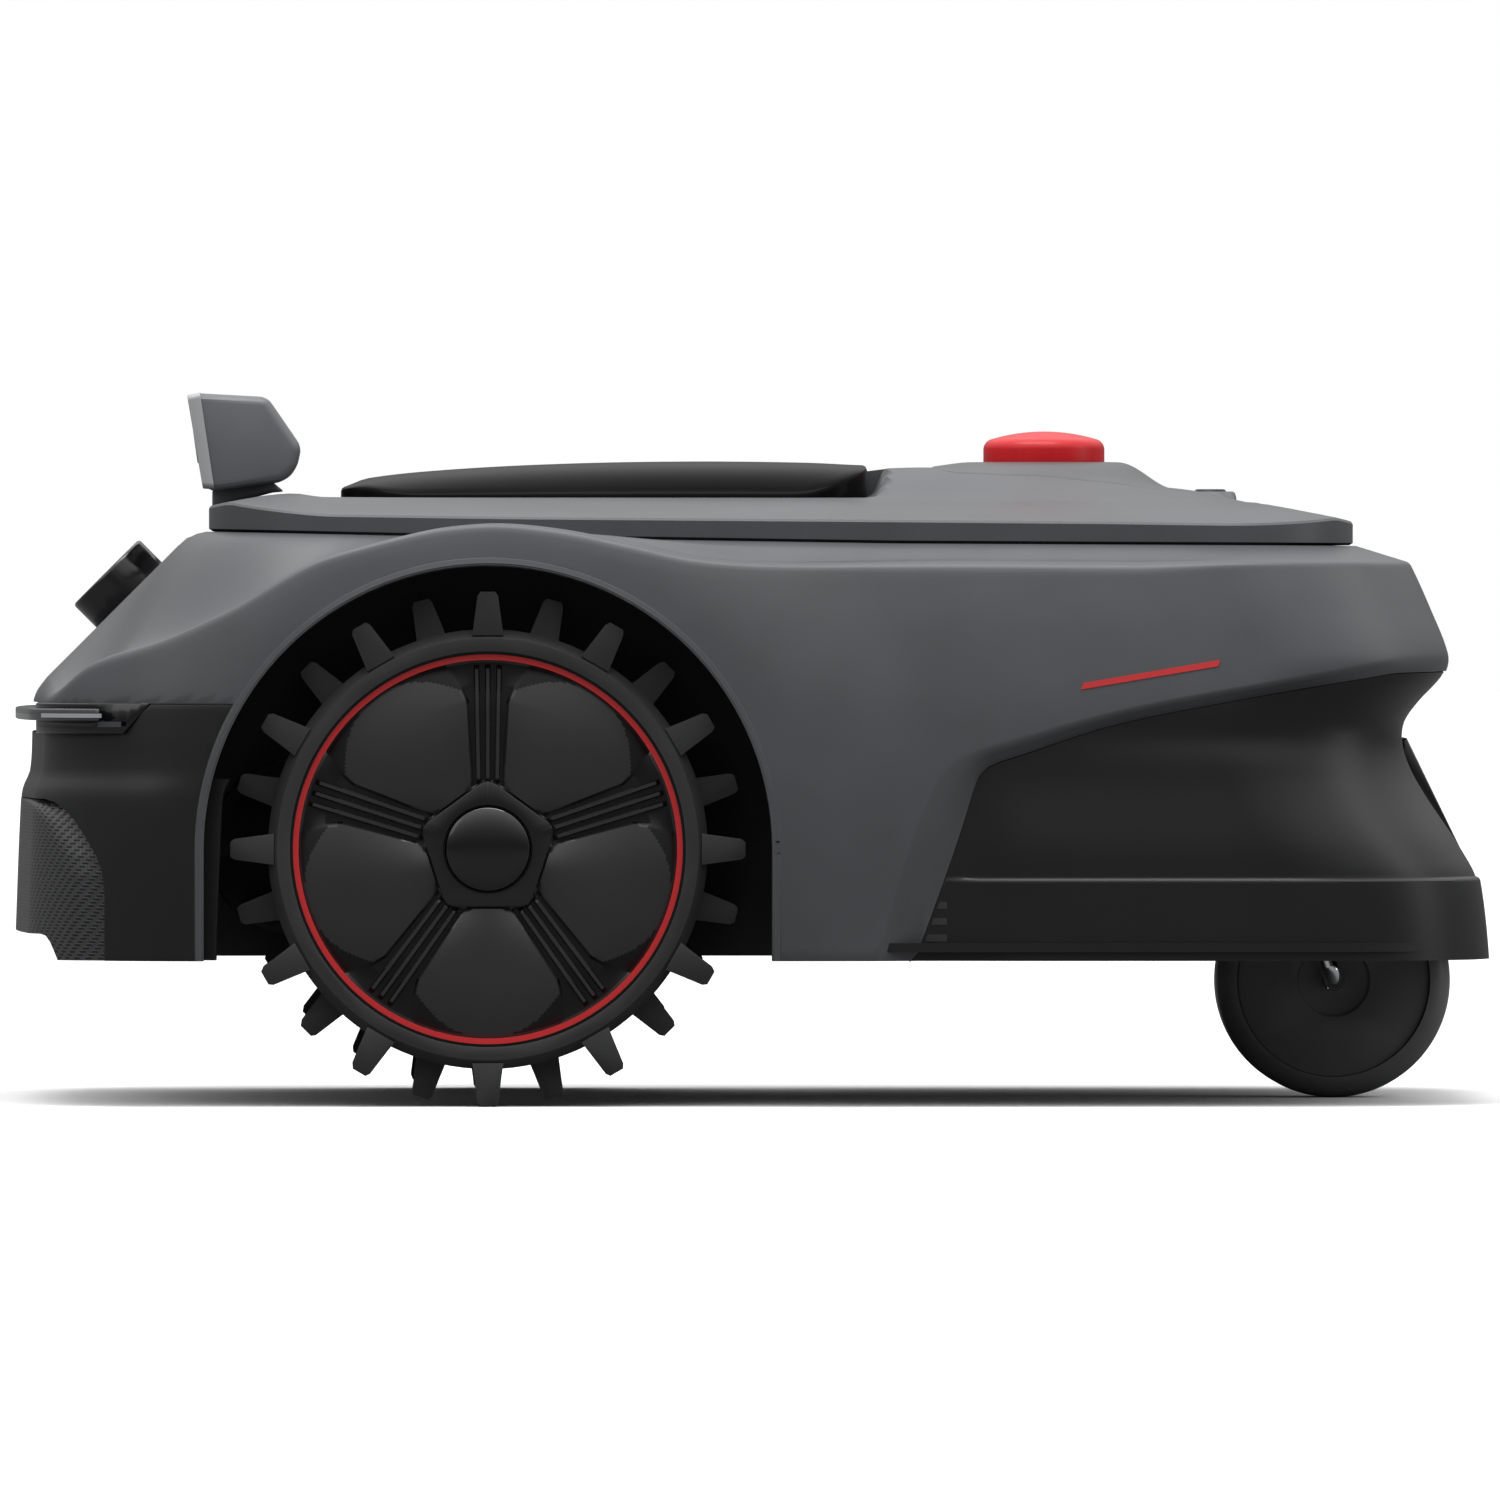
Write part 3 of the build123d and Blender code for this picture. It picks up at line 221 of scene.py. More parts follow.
def twill(name):
    """Moulded twill on the piece's own UV in metres: rounded strands stepping over each other."""
    material, shader, surface = new_material(name)
    uv = shader.add("TexCoord").outputs["UV"]
    cells = shader.add("Mapping", {"Scale": (1 / TWILL_CELL, 1 / TWILL_CELL, 1.0), "Vector": uv})
    split = shader.add("SeparateXYZ", {"Vector": cells.outputs["Vector"]})
    across, up = split.outputs["X"], split.outputs["Y"]

    def math(operation, *terms):
        return shader.add("Math", dict(enumerate(terms)), operation=operation).outputs[0]

    def strand(place, crown):
        """Rounded height across one strand."""
        off = math("SUBTRACT", math("FRACT", place), 0.5)
        return math("SUBTRACT", crown, math("MULTIPLY", math("MULTIPLY", off, off), 3.2))

    diagonal = math("ADD", math("ADD", math("FLOOR", across), math("FLOOR", up)), 4000.0)
    warp_up = math("LESS_THAN", math("MODULO", diagonal, 4.0), 1.5)
    height = shader.add("Mix", {0: warp_up, 2: strand(up, 0.8), 3: strand(across, 1.0)}).outputs[0]
    shader.feed(surface, {
        "Base Color": shader.blend(warp_up, (0.0018, 0.0019, 0.0021, 1), (0.042, 0.043, 0.046, 1)),
        "Normal": shader.bump(height, 0.8, 0.00022),
        "Roughness": shader.ranged(warp_up, 0.42, 0.28),
    })
    return material


def glass(name, colour, rough, clear):
    """Tinted glass or clear plastic with a faint smear."""
    material, shader, surface = new_material(name)
    smear = shader.noise(30.0, 4.0, shader.place())
    shader.feed(surface, {
        "Base Color": shader.between(smear, tuple(c * 0.9 for c in colour), colour),
        "Roughness": shader.ranged(smear, rough, rough + 0.05),
        "Transmission Weight": clear,
        "IOR": 1.49,
    })
    return material


def board_material(name):
    """Circuit board: solder mask with copper-coloured tracks and pads."""
    material, shader, surface = new_material(name)
    brick = shader.add("TexBrick", {"Scale": 60.0, "Mortar Size": 0.012, "Vector": shader.place(),
                                    "Color1": (0.012, 0.10, 0.035, 1), "Color2": (0.016, 0.13, 0.045, 1),
                                    "Mortar": (0.30, 0.22, 0.08, 1)})
    shader.feed(surface, {"Base Color": brick.outputs["Color"], "Roughness": brick.outputs["Fac"],
                          "Coat Weight": 0.3})
    return material


def decal_material(name, dark, light):
    """Printed strip fading along the machine, with a faint halftone grain."""
    material, shader, surface = new_material(name)
    place = shader.place()
    along = shader.add("SeparateXYZ", {"Vector": place}).outputs["X"]
    fade = shader.ranged(along, 0.0, 1.0, -0.058, -0.140)
    shader.feed(surface, {
        "Base Color": shader.between(fade, dark, light, 0.0, 1.0),
        "Normal": shader.bump(shader.noise(1800.0, 2.0, place), 0.4, 0.00003),
        "Roughness": 0.38,
    })
    return material


# The edge_highlight amounts below set how strongly edges are lightened as a painted highlight.
GREY = moulded("shell_grey", (0.060, 0.062, 0.068), 0.42, edge_highlight=0.3)
GREY_PLAIN = moulded("panel_grey", (0.064, 0.066, 0.072), 0.42)
CAMERA_GREY = moulded("camera_grey", (0.115, 0.118, 0.126), 0.42)
POD = moulded("pod_gloss", (0.004, 0.004, 0.0045), 0.16, grain_depth=0.0, spread=0.0, coat=0.2)
BLACK = moulded("shell_black", (0.0068, 0.007, 0.0076), 0.38, edge_highlight=0.25, specular=0.36)
TYRE = moulded("tyre_rubber", (0.023, 0.0233, 0.0242), 0.58, grain=900.0, grain_depth=0.0001, spread=0.25,
               dust=0.003, edge_highlight=0.3, specular=0.4)
CHANNEL = moulded("rim_channel", (0.0035, 0.0036, 0.0038), 0.4, grain=2600.0, grain_depth=0.00001,
                  specular=0.3)
RIM = moulded("rim_satin", (0.020, 0.0203, 0.0211), 0.3, grain=2600.0, grain_depth=0.000012, specular=0.55)
GLOSS = moulded("gloss_black", (0.003, 0.003, 0.004), 0.12, grain=300.0, grain_depth=0.0000004, coat=0.25,
                spread=0.3)
CASTER = moulded("caster_plastic", (0.12, 0.121, 0.126), 0.42, spread=0.2, edge_highlight=0.2)
BLADE_GLASS = glass("dark_light_guide", (0.10, 0.11, 0.12), 0.05, 0.5)
LED = moulded("led_strip", (0.34, 0.35, 0.36), 0.35, grain=2500.0, spread=0.05)
SMOKED = moulded("smoked_cover", (0.003, 0.003, 0.0035), 0.2, grain=200.0, grain_depth=0.000001, spread=0.2,
                 specular=0.03)
RED = moulded("button_red", (0.52, 0.010, 0.014), 0.36, grain=1500.0, spread=0.06, specular=0.3)
RING_RED = moulded("ring_red", (0.58, 0.018, 0.022), 0.4, grain=1500.0, spread=0.06)
BEZEL = moulded("bezel_grey", (0.34, 0.345, 0.355), 0.38, spread=0.06)
INNER = moulded("inner_black", (0.0055, 0.0058, 0.0062), 0.5, grain=700.0, spread=0.25, specular=0.3)
SEAL = moulded("seal_rubber", (0.012, 0.012, 0.013), 0.75, grain=600.0, spread=0.3)
WRAP = moulded("battery_wrap", (0.02, 0.035, 0.07), 0.32, grain=250.0, grain_depth=0.00006, coat=0.2)
WEAVE = twill("bumper_weave")
STEEL = metal("brushed_steel", (0.52, 0.53, 0.55), 0.28)
CHROME = metal("chrome", (0.82, 0.83, 0.85), 0.07, streak=(60.0, 60.0, 60.0))
ALLOY = metal("cast_alloy", (0.46, 0.47, 0.49), 0.42, streak=(500.0, 500.0, 500.0))
CONTACT = metal("contact_metal", (0.72, 0.56, 0.30), 0.2, streak=(60.0, 800.0, 60.0))
LENS = glass("coated_lens", (0.05, 0.06, 0.09), 0.02, 0.35)
BOARD = board_material("board_green")
STRIPE = decal_material("stripe_print", (0.022, 0.022, 0.023), (0.10, 0.10, 0.105))
ACCENT = decal_material("accent_print", (0.52, 0.018, 0.022), (0.52, 0.018, 0.022))


def paint(node, material):
    """Gives a carried-over CAD node its finish."""
    mesh = NODES[node].data
    mesh.materials.clear()
    mesh.materials.append(material)


# ---------------- mesh helpers
def clear_selection():
    if bpy.context.object and bpy.context.object.mode != "OBJECT":
        bpy.ops.object.mode_set(mode="OBJECT")
    bpy.ops.object.select_all(action="DESELECT")


def make_active(piece):
    clear_selection()
    piece.select_set(True)
    bpy.context.view_layer.objects.active = piece


@contextmanager
def editing(piece):
    """Edit mode on one piece."""
    make_active(piece)
    bpy.ops.object.mode_set(mode="EDIT")
    yield
    bpy.ops.object.mode_set(mode="OBJECT")


def grid_piece(name, rows, loop=False):
    """Skin through rows of points given in millimetres."""
    columns = len(rows[0])
    points = [tuple(c * MM for c in point) for row in rows for point in row]
    faces = []
    for r in range(len(rows) - 1):
        for c in range(columns if loop else columns - 1):
            d = (c + 1) % columns
            faces.append((r * columns + c, r * columns + d, (r + 1) * columns + d, (r + 1) * columns + c))
    mesh = bpy.data.meshes.new(name)
    mesh.from_pydata(points, [], faces)
    piece = bpy.data.objects.new(name, mesh)
    bpy.context.scene.collection.objects.link(piece)
    return piece


def merge_close(distance=0.00001):
    """In edit mode: joins the vertices that lie together."""
    bpy.ops.mesh.select_all(action="SELECT")
    bpy.ops.mesh.remove_doubles(threshold=distance)


def weld(piece, distance=0.00002, outward=True):
    with editing(piece):
        merge_close(distance)
        bpy.ops.mesh.dissolve_degenerate(threshold=distance)
        if outward:
            bpy.ops.mesh.select_all(action="SELECT")
            bpy.ops.mesh.normals_make_consistent(inside=False)


def close_ends(piece, merge=False):
    """Faces over the open ends of a sleeve, with all faces turned outwards."""
    with editing(piece):
        bpy.ops.mesh.select_all(action="DESELECT")
        bpy.ops.mesh.select_mode(type="EDGE")
        bpy.ops.mesh.select_non_manifold()
        bpy.ops.mesh.edge_face_add()
        bpy.ops.mesh.select_all(action="SELECT")
        if merge:
            bpy.ops.mesh.remove_doubles(threshold=0.00001)
        bpy.ops.mesh.normals_make_consistent(inside=False)
    return piece


def apply(piece, modifier):
    make_active(piece)
    bpy.ops.object.modifier_apply(modifier=modifier.name)


def thicken(piece, wall=SHELL_WALL, side=-1.0):
    solid = piece.modifiers.new("wall", "SOLIDIFY")
    solid.thickness = wall * MM
    solid.offset = side
    solid.use_even_offset = False
    apply(piece, solid)


def walled(name, rows, wall):
    """Open shell through rows of points, with a wall thickness inwards."""
    piece = grid_piece(name, rows)
    weld(piece, outward=False)
    thicken(piece, wall)
    return piece


def carve(piece, cutter, operation="DIFFERENCE"):
    """Cuts with another piece, which is used up."""
    cut = piece.modifiers.new("cut", "BOOLEAN")
    cut.operation = operation
    cut.solver = "EXACT"
    cut.object = cutter
    apply(piece, cut)
    bpy.data.objects.remove(cutter)


def soften(piece, width, segments=2, angle=32.0):
    bevel = piece.modifiers.new("edges", "BEVEL")
    bevel.width = width * MM
    bevel.segments = segments
    bevel.limit_method = "ANGLE"
    bevel.angle_limit = radians(angle)
    bevel.harden_normals = False
    apply(piece, bevel)


def smooth(piece, angle):
    make_active(piece)
    bpy.ops.object.shade_smooth_by_angle(angle=radians(angle))


def finish_piece(piece, material, body, slot, *nodes):
    piece.data.materials.clear()
    piece.data.materials.append(material)
    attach(piece, body)
    if nodes:
        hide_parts(*nodes)
    return piece


def prism_xz(name, outline, y0, y1):
    """Closed prism from an (x, z) outline, between two Y values."""
    return close_ends(grid_piece(name, [[(x, y, z) for x, z in outline] for y in (y0, y1)], loop=True))


def refined(node, width, material, body, slot):
    """Copy of a CAD node with welded faces and rounded edges, standing for it."""
    piece = NODES[node].copy()
    piece.data = NODES[node].data.copy()
    for key in list(piece.keys()):
        del piece[key]
    piece.name = node + "_finished"
    piece.parent = None
    bpy.context.scene.collection.objects.link(piece)
    with editing(piece):
        merge_close()
        bpy.ops.mesh.dissolve_limited(angle_limit=radians(1.0))
    soften(piece, width)
    smooth(piece, 40.0)
    return finish_piece(piece, material, body, slot, node)


# ---------------- body form
CREST = [(-185.0, 182.6), (-92.0, 183.0), (-4.0, 183.6), (21.0, 185.4), (42.0, 189.9), (64.0, 194.3),
         (85.5, 196.4), (104.0, 195.2), (118.6, 192.3), (141.0, 186.2), (156.0, 181.1), (173.0, 174.1),
         (188.3, 166.1), (207.4, 157.1), (231.0, 149.2), (243.5, 138.5)]
SEAM = [(-250.0, 146.0), (-232.0, 145.5), (-88.0, 116.0), (-82.0, 114.2), (-77.6, 111.0), (-75.0, 106.0),
        (-72.6, 99.3), (-54.3, SKIRT_Z)]
BAND = [(-250.0, 151.0), (-233.5, 150.7), (-81.5, 119.6), (-69.9, 116.0), (-64.5, 112.0), (-61.0, 107.0),
        (-55.0, 93.0), (-49.5, 76.2), (-42.0, SKIRT_Z)]


def tail_setback(z):
    """How far the tail stands in from its rearmost line."""
    return curve([(40.0, 0.0), (76.0, 3.6), (85.0, 8.0), (105.0, 19.0), (118.0, 25.0), (127.0, 25.6),
                  (136.0, 21.5), (146.0, 15.0), (152.0, 14.4), (168.0, 20.6), (181.0, 26.4),
                  (200.0, 36.0)], z)


def nose_setback(z):
    """How far the nose stands in from its foremost line."""
    return curve([(40.0, 0.0), (60.0, 0.6), (100.0, 2.2), (106.0, 3.0), (112.0, 5.4), (126.0, 6.2),
                  (138.0, 6.6), (150.0, 8.0), (200.0, 12.0)], z)


def side_setback(x, z):
    """How far the flank stands in from the widest line: leaning sides and the flare round the arch."""
    lean = curve([(40.0, 1.0), (90.0, 0.0), (130.0, 1.6), (160.0, 5.6), (183.0, 10.5), (200.0, 15.0)], z)
    reach = hypot(x - AXLE_X, max(0.0, z - AXLE_Z))
    flare = ease(158.0, 104.0, reach)
    return lean * (1 - 0.35 * flare) + 3.6 * (1 - flare)


BOW_STATIONS = 12
BEND_STATIONS = 26
SIDE_STATIONS = 150
TAIL_STATIONS = 12


def half_plan():
    """Stations round the left half of the plan, from the nose to the tail."""
    corner_y = SIDE_Y - NOSE_CORNER
    start_x = NOSE_X - NOSE_BOW * (corner_y / SIDE_Y) ** 2
    stations = []
    for i in range(BOW_STATIONS):
        y = corner_y * i / BOW_STATIONS
        stations.append((NOSE_X - NOSE_BOW * (y / SIDE_Y) ** 2, y))
    for i in range(BEND_STATIONS):
        a = pi / 2 * i / BEND_STATIONS
        stations.append((start_x - NOSE_CORNER * (1 - cos(a)), corner_y + NOSE_CORNER * sin(a)))
    side_start = start_x - NOSE_CORNER
    side_end = TAIL_X + TAIL_CORNER
    for i in range(SIDE_STATIONS):
        stations.append((mix(side_start, side_end, i / SIDE_STATIONS), SIDE_Y))
    for i in range(BEND_STATIONS + 1):
        a = pi / 2 * i / BEND_STATIONS
        stations.append((side_end - TAIL_CORNER * sin(a), SIDE_Y - TAIL_CORNER + TAIL_CORNER * cos(a)))
    for i in range(1, TAIL_STATIONS + 1):
        stations.append((TAIL_X, (SIDE_Y - TAIL_CORNER) * (1 - i / TAIL_STATIONS)))
    return stations


PLAN = half_plan()


def flank(x, y, z, inset=0.0):
    """Point of the body's outer skin over a plan station at a height."""
    front = ease(140.0, 186.0, x)
    rear = ease(-60.0, -170.0, x)
    side = (side_setback(x, z) + inset) / SIDE_Y
    px = x + (tail_setback(z) + inset) * rear - (nose_setback(z) + inset) * front
    return px, y * (1 - side), z


def crest_height(x):
    return curve(CREST, x)


def crest_round(x):
    """How far below the crest its rounding starts."""
    return mix(4.0, 1.4, ease(-150.0, -200.0, x))


def panel_match(index):
    """Point of the hood's upper edge that belongs to a plan station."""
    corner = PANEL_CORNER
    front, rear, half = PANEL_FRONT + 1.0, PANEL_REAR - 1.0, PANEL_HALF + 1.0
    if index < BOW_STATIONS:
        return front, (half - corner) * index / BOW_STATIONS
    index -= BOW_STATIONS
    if index < BEND_STATIONS:
        a = pi / 2 * index / BEND_STATIONS
        return front - corner * (1 - cos(a)), half - corner + corner * sin(a)
    index -= BEND_STATIONS
    if index < SIDE_STATIONS:
        return mix(front - corner, rear + corner, index / SIDE_STATIONS), half
    index -= SIDE_STATIONS
    if index <= BEND_STATIONS:
        a = pi / 2 * index / BEND_STATIONS
        return rear + corner * (1 - sin(a)), half - corner + corner * cos(a)
    index -= BEND_STATIONS
    return rear, (half - corner) * (1 - index / TAIL_STATIONS)


def hood_height(x):
    return line([(-204.0, 188.2), (-49.0, 189.0), (120.0, 191.6), (183.0, 193.0)], x)


def mirrored_rows(rows):
    """Closes half rows into full rings: left half from nose to tail, then the right half back."""
    full = []
    for row in rows:
        right = [(x, -y, z) for x, y, z in row[-2:0:-1]]
        full.append(list(row) + right)
    return full


NOSE_SLOPE = [(182.8, 193.2), (190.8, 190.8), (243.3, 138.3)]


def over_the_top(index, steps=16):
    """Path from the fender crest in to the hood's edge, rounded at the crest."""
    x, y = PLAN[index]
    crest = crest_height(x)
    late = ease(-150.0, -200.0, x)
    roundness = crest_round(x)
    under = flank(x, y, crest - roundness)
    top = flank(x, y, crest)
    hx, hy = panel_match(index)
    hz = hood_height(hx)
    nose = ease(150.0, 235.0, x) * ease(150.0, 60.0, y)
    fender = ease(-70.0, 0.0, x) * ease(170.0, 130.0, x)
    length = hypot(hx - top[0], hy - top[1]) + 0.01

    def ledge(t):
        px = mix(top[0], hx, t)
        dip = fender * 1.6 * sin(pi * min(1.0, t * 1.6))
        side_z = mix(crest, hz, mix(ease(0.1, 1.0, t), t, late)) - dip
        return px, mix(top[1], hy, t), mix(side_z, line(NOSE_SLOPE, px), nose)

    path = []
    first = min(0.4, roundness / length)
    lead = ledge(first)
    for i in range(5):
        u = i / 5
        w0, w1, w2 = (1 - u) ** 2, 2 * u * (1 - u), u * u
        path.append(tuple(w0 * a + w1 * b + w2 * c for a, b, c in zip(under, top, lead)))
    for i in range(steps + 1):
        path.append(ledge(mix(first, 1.0, i / steps)))
    return path


def body_rows():
    """Rows of the grey shell's skin from its lower edge to the hood's edge."""
    band_rows = 3
    side_rows = 34
    rows = []
    for k in range(band_rows):
        t = k / band_rows
        rows.append([flank(x, y, mix(line(SEAM, x), line(BAND, x), t),
                           3.6 * (1 - t) * ease(-42.0, -52.0, x) * ease(-243.0, -195.0, x))
                     for x, y in PLAN])
    for k in range(side_rows + 1):
        t = k / side_rows
        rows.append([flank(x, y, mix(line(BAND, x), crest_height(x) - crest_round(x), t)) for x, y in PLAN])
    tops = [over_the_top(i) for i in range(len(PLAN))]
    for k in range(1, len(tops[0])):
        rows.append([path[k] for path in tops])
    return rows


def arch_points(radius, steps):
    """Half circle over the drive axle, from front to rear."""
    turns = [pi * i / steps for i in range(steps + 1)]
    return [(AXLE_X + radius * cos(a), AXLE_Z + radius * sin(a)) for a in turns]


def arch_prism(radius, y0, y1, down=-20.0):
    outline = arch_points(radius, 64) + [(AXLE_X - radius, down), (AXLE_X + radius, down)]
    return prism_xz("arch_cut", outline, y0, y1)


def closed_skin(name, rows, low=-30.0, high=270.0):
    """Skin carried down and up to flat caps, so that it can be cut; caps are marked as offcuts."""
    full = [[(x, y, low) for x, y, _ in rows[0]]] + rows + [[(x, y, high) for x, y, _ in rows[-1]]]
    piece = grid_piece(name, full, loop=True)
    columns = len(full[0])
    for slot in ("skin", "cap", "offcut"):
        piece.data.materials.append(bpy.data.materials.get(slot) or bpy.data.materials.new(slot))
    for polygon in piece.data.polygons:
        row = polygon.index // columns
        polygon.material_index = 1 if row in (0, len(full) - 2) else 0
    with editing(piece):
        bpy.ops.mesh.select_all(action="DESELECT")
        bpy.ops.mesh.select_mode(type="EDGE")
        bpy.ops.mesh.select_non_manifold()
        piece.active_material_index = 1
        bpy.ops.mesh.edge_face_add()
        bpy.ops.mesh.select_mode(type="FACE")
        bpy.ops.object.material_slot_assign()
    weld(piece)
    return piece


def trim_skin(piece, cutter):
    """Cuts a closed skin and marks the faces that the cutter leaves."""
    for slot in ("skin", "cap", "offcut"):
        cutter.data.materials.append(bpy.data.materials[slot])
    for polygon in cutter.data.polygons:
        polygon.material_index = 2
    carve(piece, cutter)


def open_skin(piece):
    """Drops caps and offcuts, leaving the trimmed skin."""
    with editing(piece):
        bpy.ops.mesh.select_mode(type="FACE")
        bpy.ops.mesh.select_all(action="DESELECT")
        for index in (1, 2):
            piece.active_material_index = index
            bpy.ops.object.material_slot_select()
        bpy.ops.mesh.delete(type="FACE")
    for polygon in piece.data.polygons:
        polygon.material_index = 0
    weld(piece, outward=False)


def make_body_shell():
    piece = closed_skin("body_shell_skin", mirrored_rows(body_rows()))
    for y0, y1 in ((TUB_Y, FAR_Y), (-FAR_Y, -TUB_Y)):
        trim_skin(piece, arch_prism(ARCH_R, y0, y1, -60.0))
    radius = ARCH_R + ARCH_LIP
    top = asin((135.3 - AXLE_Z) / radius)
    nose_cut = [(AXLE_X + radius, -60.0), (NOSE_X + 20, -60.0), (NOSE_X + 20, 135.3)]
    for i in range(12, -1, -1):
        nose_cut.append((AXLE_X + radius * cos(top * i / 12), AXLE_Z + radius * sin(top * i / 12)))
    trim_skin(piece, prism_xz("nose_cut", nose_cut, -FAR_Y, FAR_Y))
    trim_skin(piece, node_cutter("sensor_pod"))
    open_skin(piece)
    thicken(piece)
    soften(piece, 0.5, 2, 50.0)
    smooth(piece, 26.0)
    return finish_piece(piece, GREY, "chassis", "shell_grey", "body_shell")


def make_wheel_liners():
    """Dark wall closing each wheel arch towards the tub."""
    radius = ARCH_R + 1.0
    for side, tag in SIDES:
        outline = arch_points(radius, 48)
        outline += [(AXLE_X - radius, SKIRT_Z + 1.0), (AXLE_X + radius, SKIRT_Z + 1.0)]
        y0, y1 = sorted(side * face for face in LINER_FACES)
        piece = prism_xz("wheel_liner_" + tag, outline, y0, y1)
        turns = [2 * pi * i / 32 for i in range(32)]
        hole = [(AXLE_X + AXLE_HOLE_R * cos(a), AXLE_Z + AXLE_HOLE_R * sin(a)) for a in turns]
        carve(piece, prism_xz("axle_hole", hole, side * 110.0 - 5.0, side * 135.0 + 5.0))
        smooth(piece, 30.0)
        finish_piece(piece, INNER, "chassis", "inner_black")


def node_cutter(node):
    """Loose copy of a CAD node, welded, to cut its seat."""
    copy = bpy.data.objects.new("cut_" + node, NODES[node].data.copy())
    bpy.context.scene.collection.objects.link(copy)
    with editing(copy):
        merge_close()
    return copy


def make_arch_lip(side, tag):
    """Turned-in lip round one wheel arch, following the flank."""
    path = [(AXLE_X + ARCH_R, SKIRT_Z), (AXLE_X + ARCH_R, 66.0)]
    path += arch_points(ARCH_R, 60)
    path += [(AXLE_X - ARCH_R, 66.0), (AXLE_X - ARCH_R, SKIRT_Z)]
    rows = []
    for x, z in path:
        dx, dz = (x - AXLE_X) / ARCH_R, max(0.0, z - AXLE_Z) / ARCH_R
        length = hypot(dx, dz)
        dx, dz = dx / length, dz / length
        ox, oz = x + dx * ARCH_LIP, z + dz * ARCH_LIP
        inner_y = flank(x, SIDE_Y, max(z, 60.0))[1]
        outer_y = flank(ox, SIDE_Y, max(oz, 60.0))[1]
        inner_edge, outer_edge = min(inner_y + 0.25, SIDE_Y), min(outer_y + 0.25, SIDE_Y)
        section = [(x, 164.0, z), (x, inner_y - 1.0, z), (x + dx * 0.7, inner_edge, z + dz * 0.7),
                   (ox - dx * 0.5, outer_edge, oz - dz * 0.5), (ox, outer_y - 0.6, oz),
                   (ox, outer_y - 3.6, oz), (x + dx * 1.6, outer_y - 5.0, z + dz * 1.6),
                   (x + dx * 1.6, 164.0, z + dz * 1.6)]
        rows.append([(px, side * py, pz) for px, py, pz in section])
    piece = close_ends(grid_piece("arch_lip_" + tag, rows, loop=True))
    smooth(piece, 40.0)
    return finish_piece(piece, GREY, "chassis", "shell_grey", "body_shell")


def make_rear_shell():
    rows = []
    count = 60
    stations = [(x, y) for x, y in PLAN if x < -52.0]

    def inset_at(x, z):
        tail = ease(-185.0, -240.0, x)
        skirt = mix(4.0, 0.8, ease(-58.0, -98.0, x)) * (1 - tail)
        upper = mix(min(4.0, skirt + 1.4), 4.0, ease(82.0, 112.0, z))
        upper *= 1 - 0.85 * tail * ease(128.0, 146.0, z)
        pinch = 1.0 * exp(-((z - 124.0) / 6.0) ** 2) * ease(-110.0, -215.0, x) * (1 - tail)
        return mix(skirt, upper, ease(75.9, 77.0, z)) + pinch

    for k in range(count + 1):
        row = []
        t = k / count
        for x, y in stations:
            top = line(SEAM, x) - 0.35
            ledge, over = min(75.0, top), min(78.0, top)
            if t < 0.25:
                z = mix(SKIRT_Z, ledge, t / 0.25)
            elif t < 0.33:
                z = mix(ledge, over, (t - 0.25) / 0.08)
            else:
                z = mix(over, top, (t - 0.33) / 0.67)
            row.append(flank(x, y, z, inset_at(x, z)))
        rows.append(row + [(x, -y, z) for x, y, z in row[-2::-1]])
    piece = walled("rear_shell_skin", rows, BLACK_WALL)
    smooth(piece, 32.0)
    return finish_piece(piece, BLACK, "chassis", "shell_black", "rear_shell")


FOOT = [(-16.4, 49.2), (-15.4, 51.6), (-13.9, 55.0), (-12.4, 57.1), (-10.6, 57.7), (20.0, 57.7)]
BUMPER_EDGE = [(-11.8, 102.6), (-15.0, 101.6), (-17.6, 99.8), (-20.3, 97.3), (-22.4, 94.8), (-25.8, 89.9),
               (-29.2, 84.2), (-30.9, 79.5), (-31.7, 75.0), (-32.0, 70.0)]


def bumper_outline(back=0.0, top=0.0):
    """Side outline of the bumper, grown behind and above."""
    low = 40.0 - top
    outline = [(20.0, 103.0 + top)]
    outline += [(x - back, z + (top if z > 92.0 else 0.0)) for x, z in BUMPER_EDGE]
    outline += [(-32.0 - back, low), (-16.4, low)] + [(x, z - top) for x, z in FOOT]
    return [(NOSE_X + x, z) for x, z in outline]


def notch_prism():
    """Open corner under the bumper's curved foot."""
    outline = [(20.0, 40.0)] + FOOT[::-1] + [(-16.4, 40.0)]
    return prism_xz("nose_notch", [(NOSE_X + x, z) for x, z in outline], -FAR_Y, FAR_Y)


def nose_rows(z_low, z_high, count, inset=lambda x, z: 0.0, start=168.0):
    """Rows of points round the nose, from the right flank to the left."""
    stations = [(x, y) for x, y in PLAN if x >= start]
    rows = []
    for k in range(count + 1):
        z = mix(z_low, z_high, k / count)
        row = [flank(x, y, z, inset(x, z)) for x, y in stations]
        rows.append([(x, -y, z) for x, y, z in row[:0:-1]] + row)
    return rows


def make_front_shell():
    piece = walled("front_shell_skin", nose_rows(SKIRT_Z, 135.0, 44), NOSE_WALL)
    carve(piece, prism_xz("bumper_cut", bumper_outline(0.4, 0.5), -FAR_Y, FAR_Y))
    carve(piece, arch_prism(ARCH_R + ARCH_LIP, -FAR_Y, FAR_Y))
    bar = [(NOSE_X + 20, 125.2), (NOSE_X + 20, 140.0), (NOSE_X - 48.2, 140.0), (NOSE_X - 48.2, 135.2),
           (NOSE_X - 38.6, 126.2), (NOSE_X - 36.5, 125.2)]
    carve(piece, prism_xz("bar_cut", bar, -FAR_Y, FAR_Y))
    carve(piece, notch_prism())
    soften(piece, 0.6, 3, 45.0)
    smooth(piece, 40.0)
    return finish_piece(piece, BLACK, "chassis", "shell_black", "front_shell")


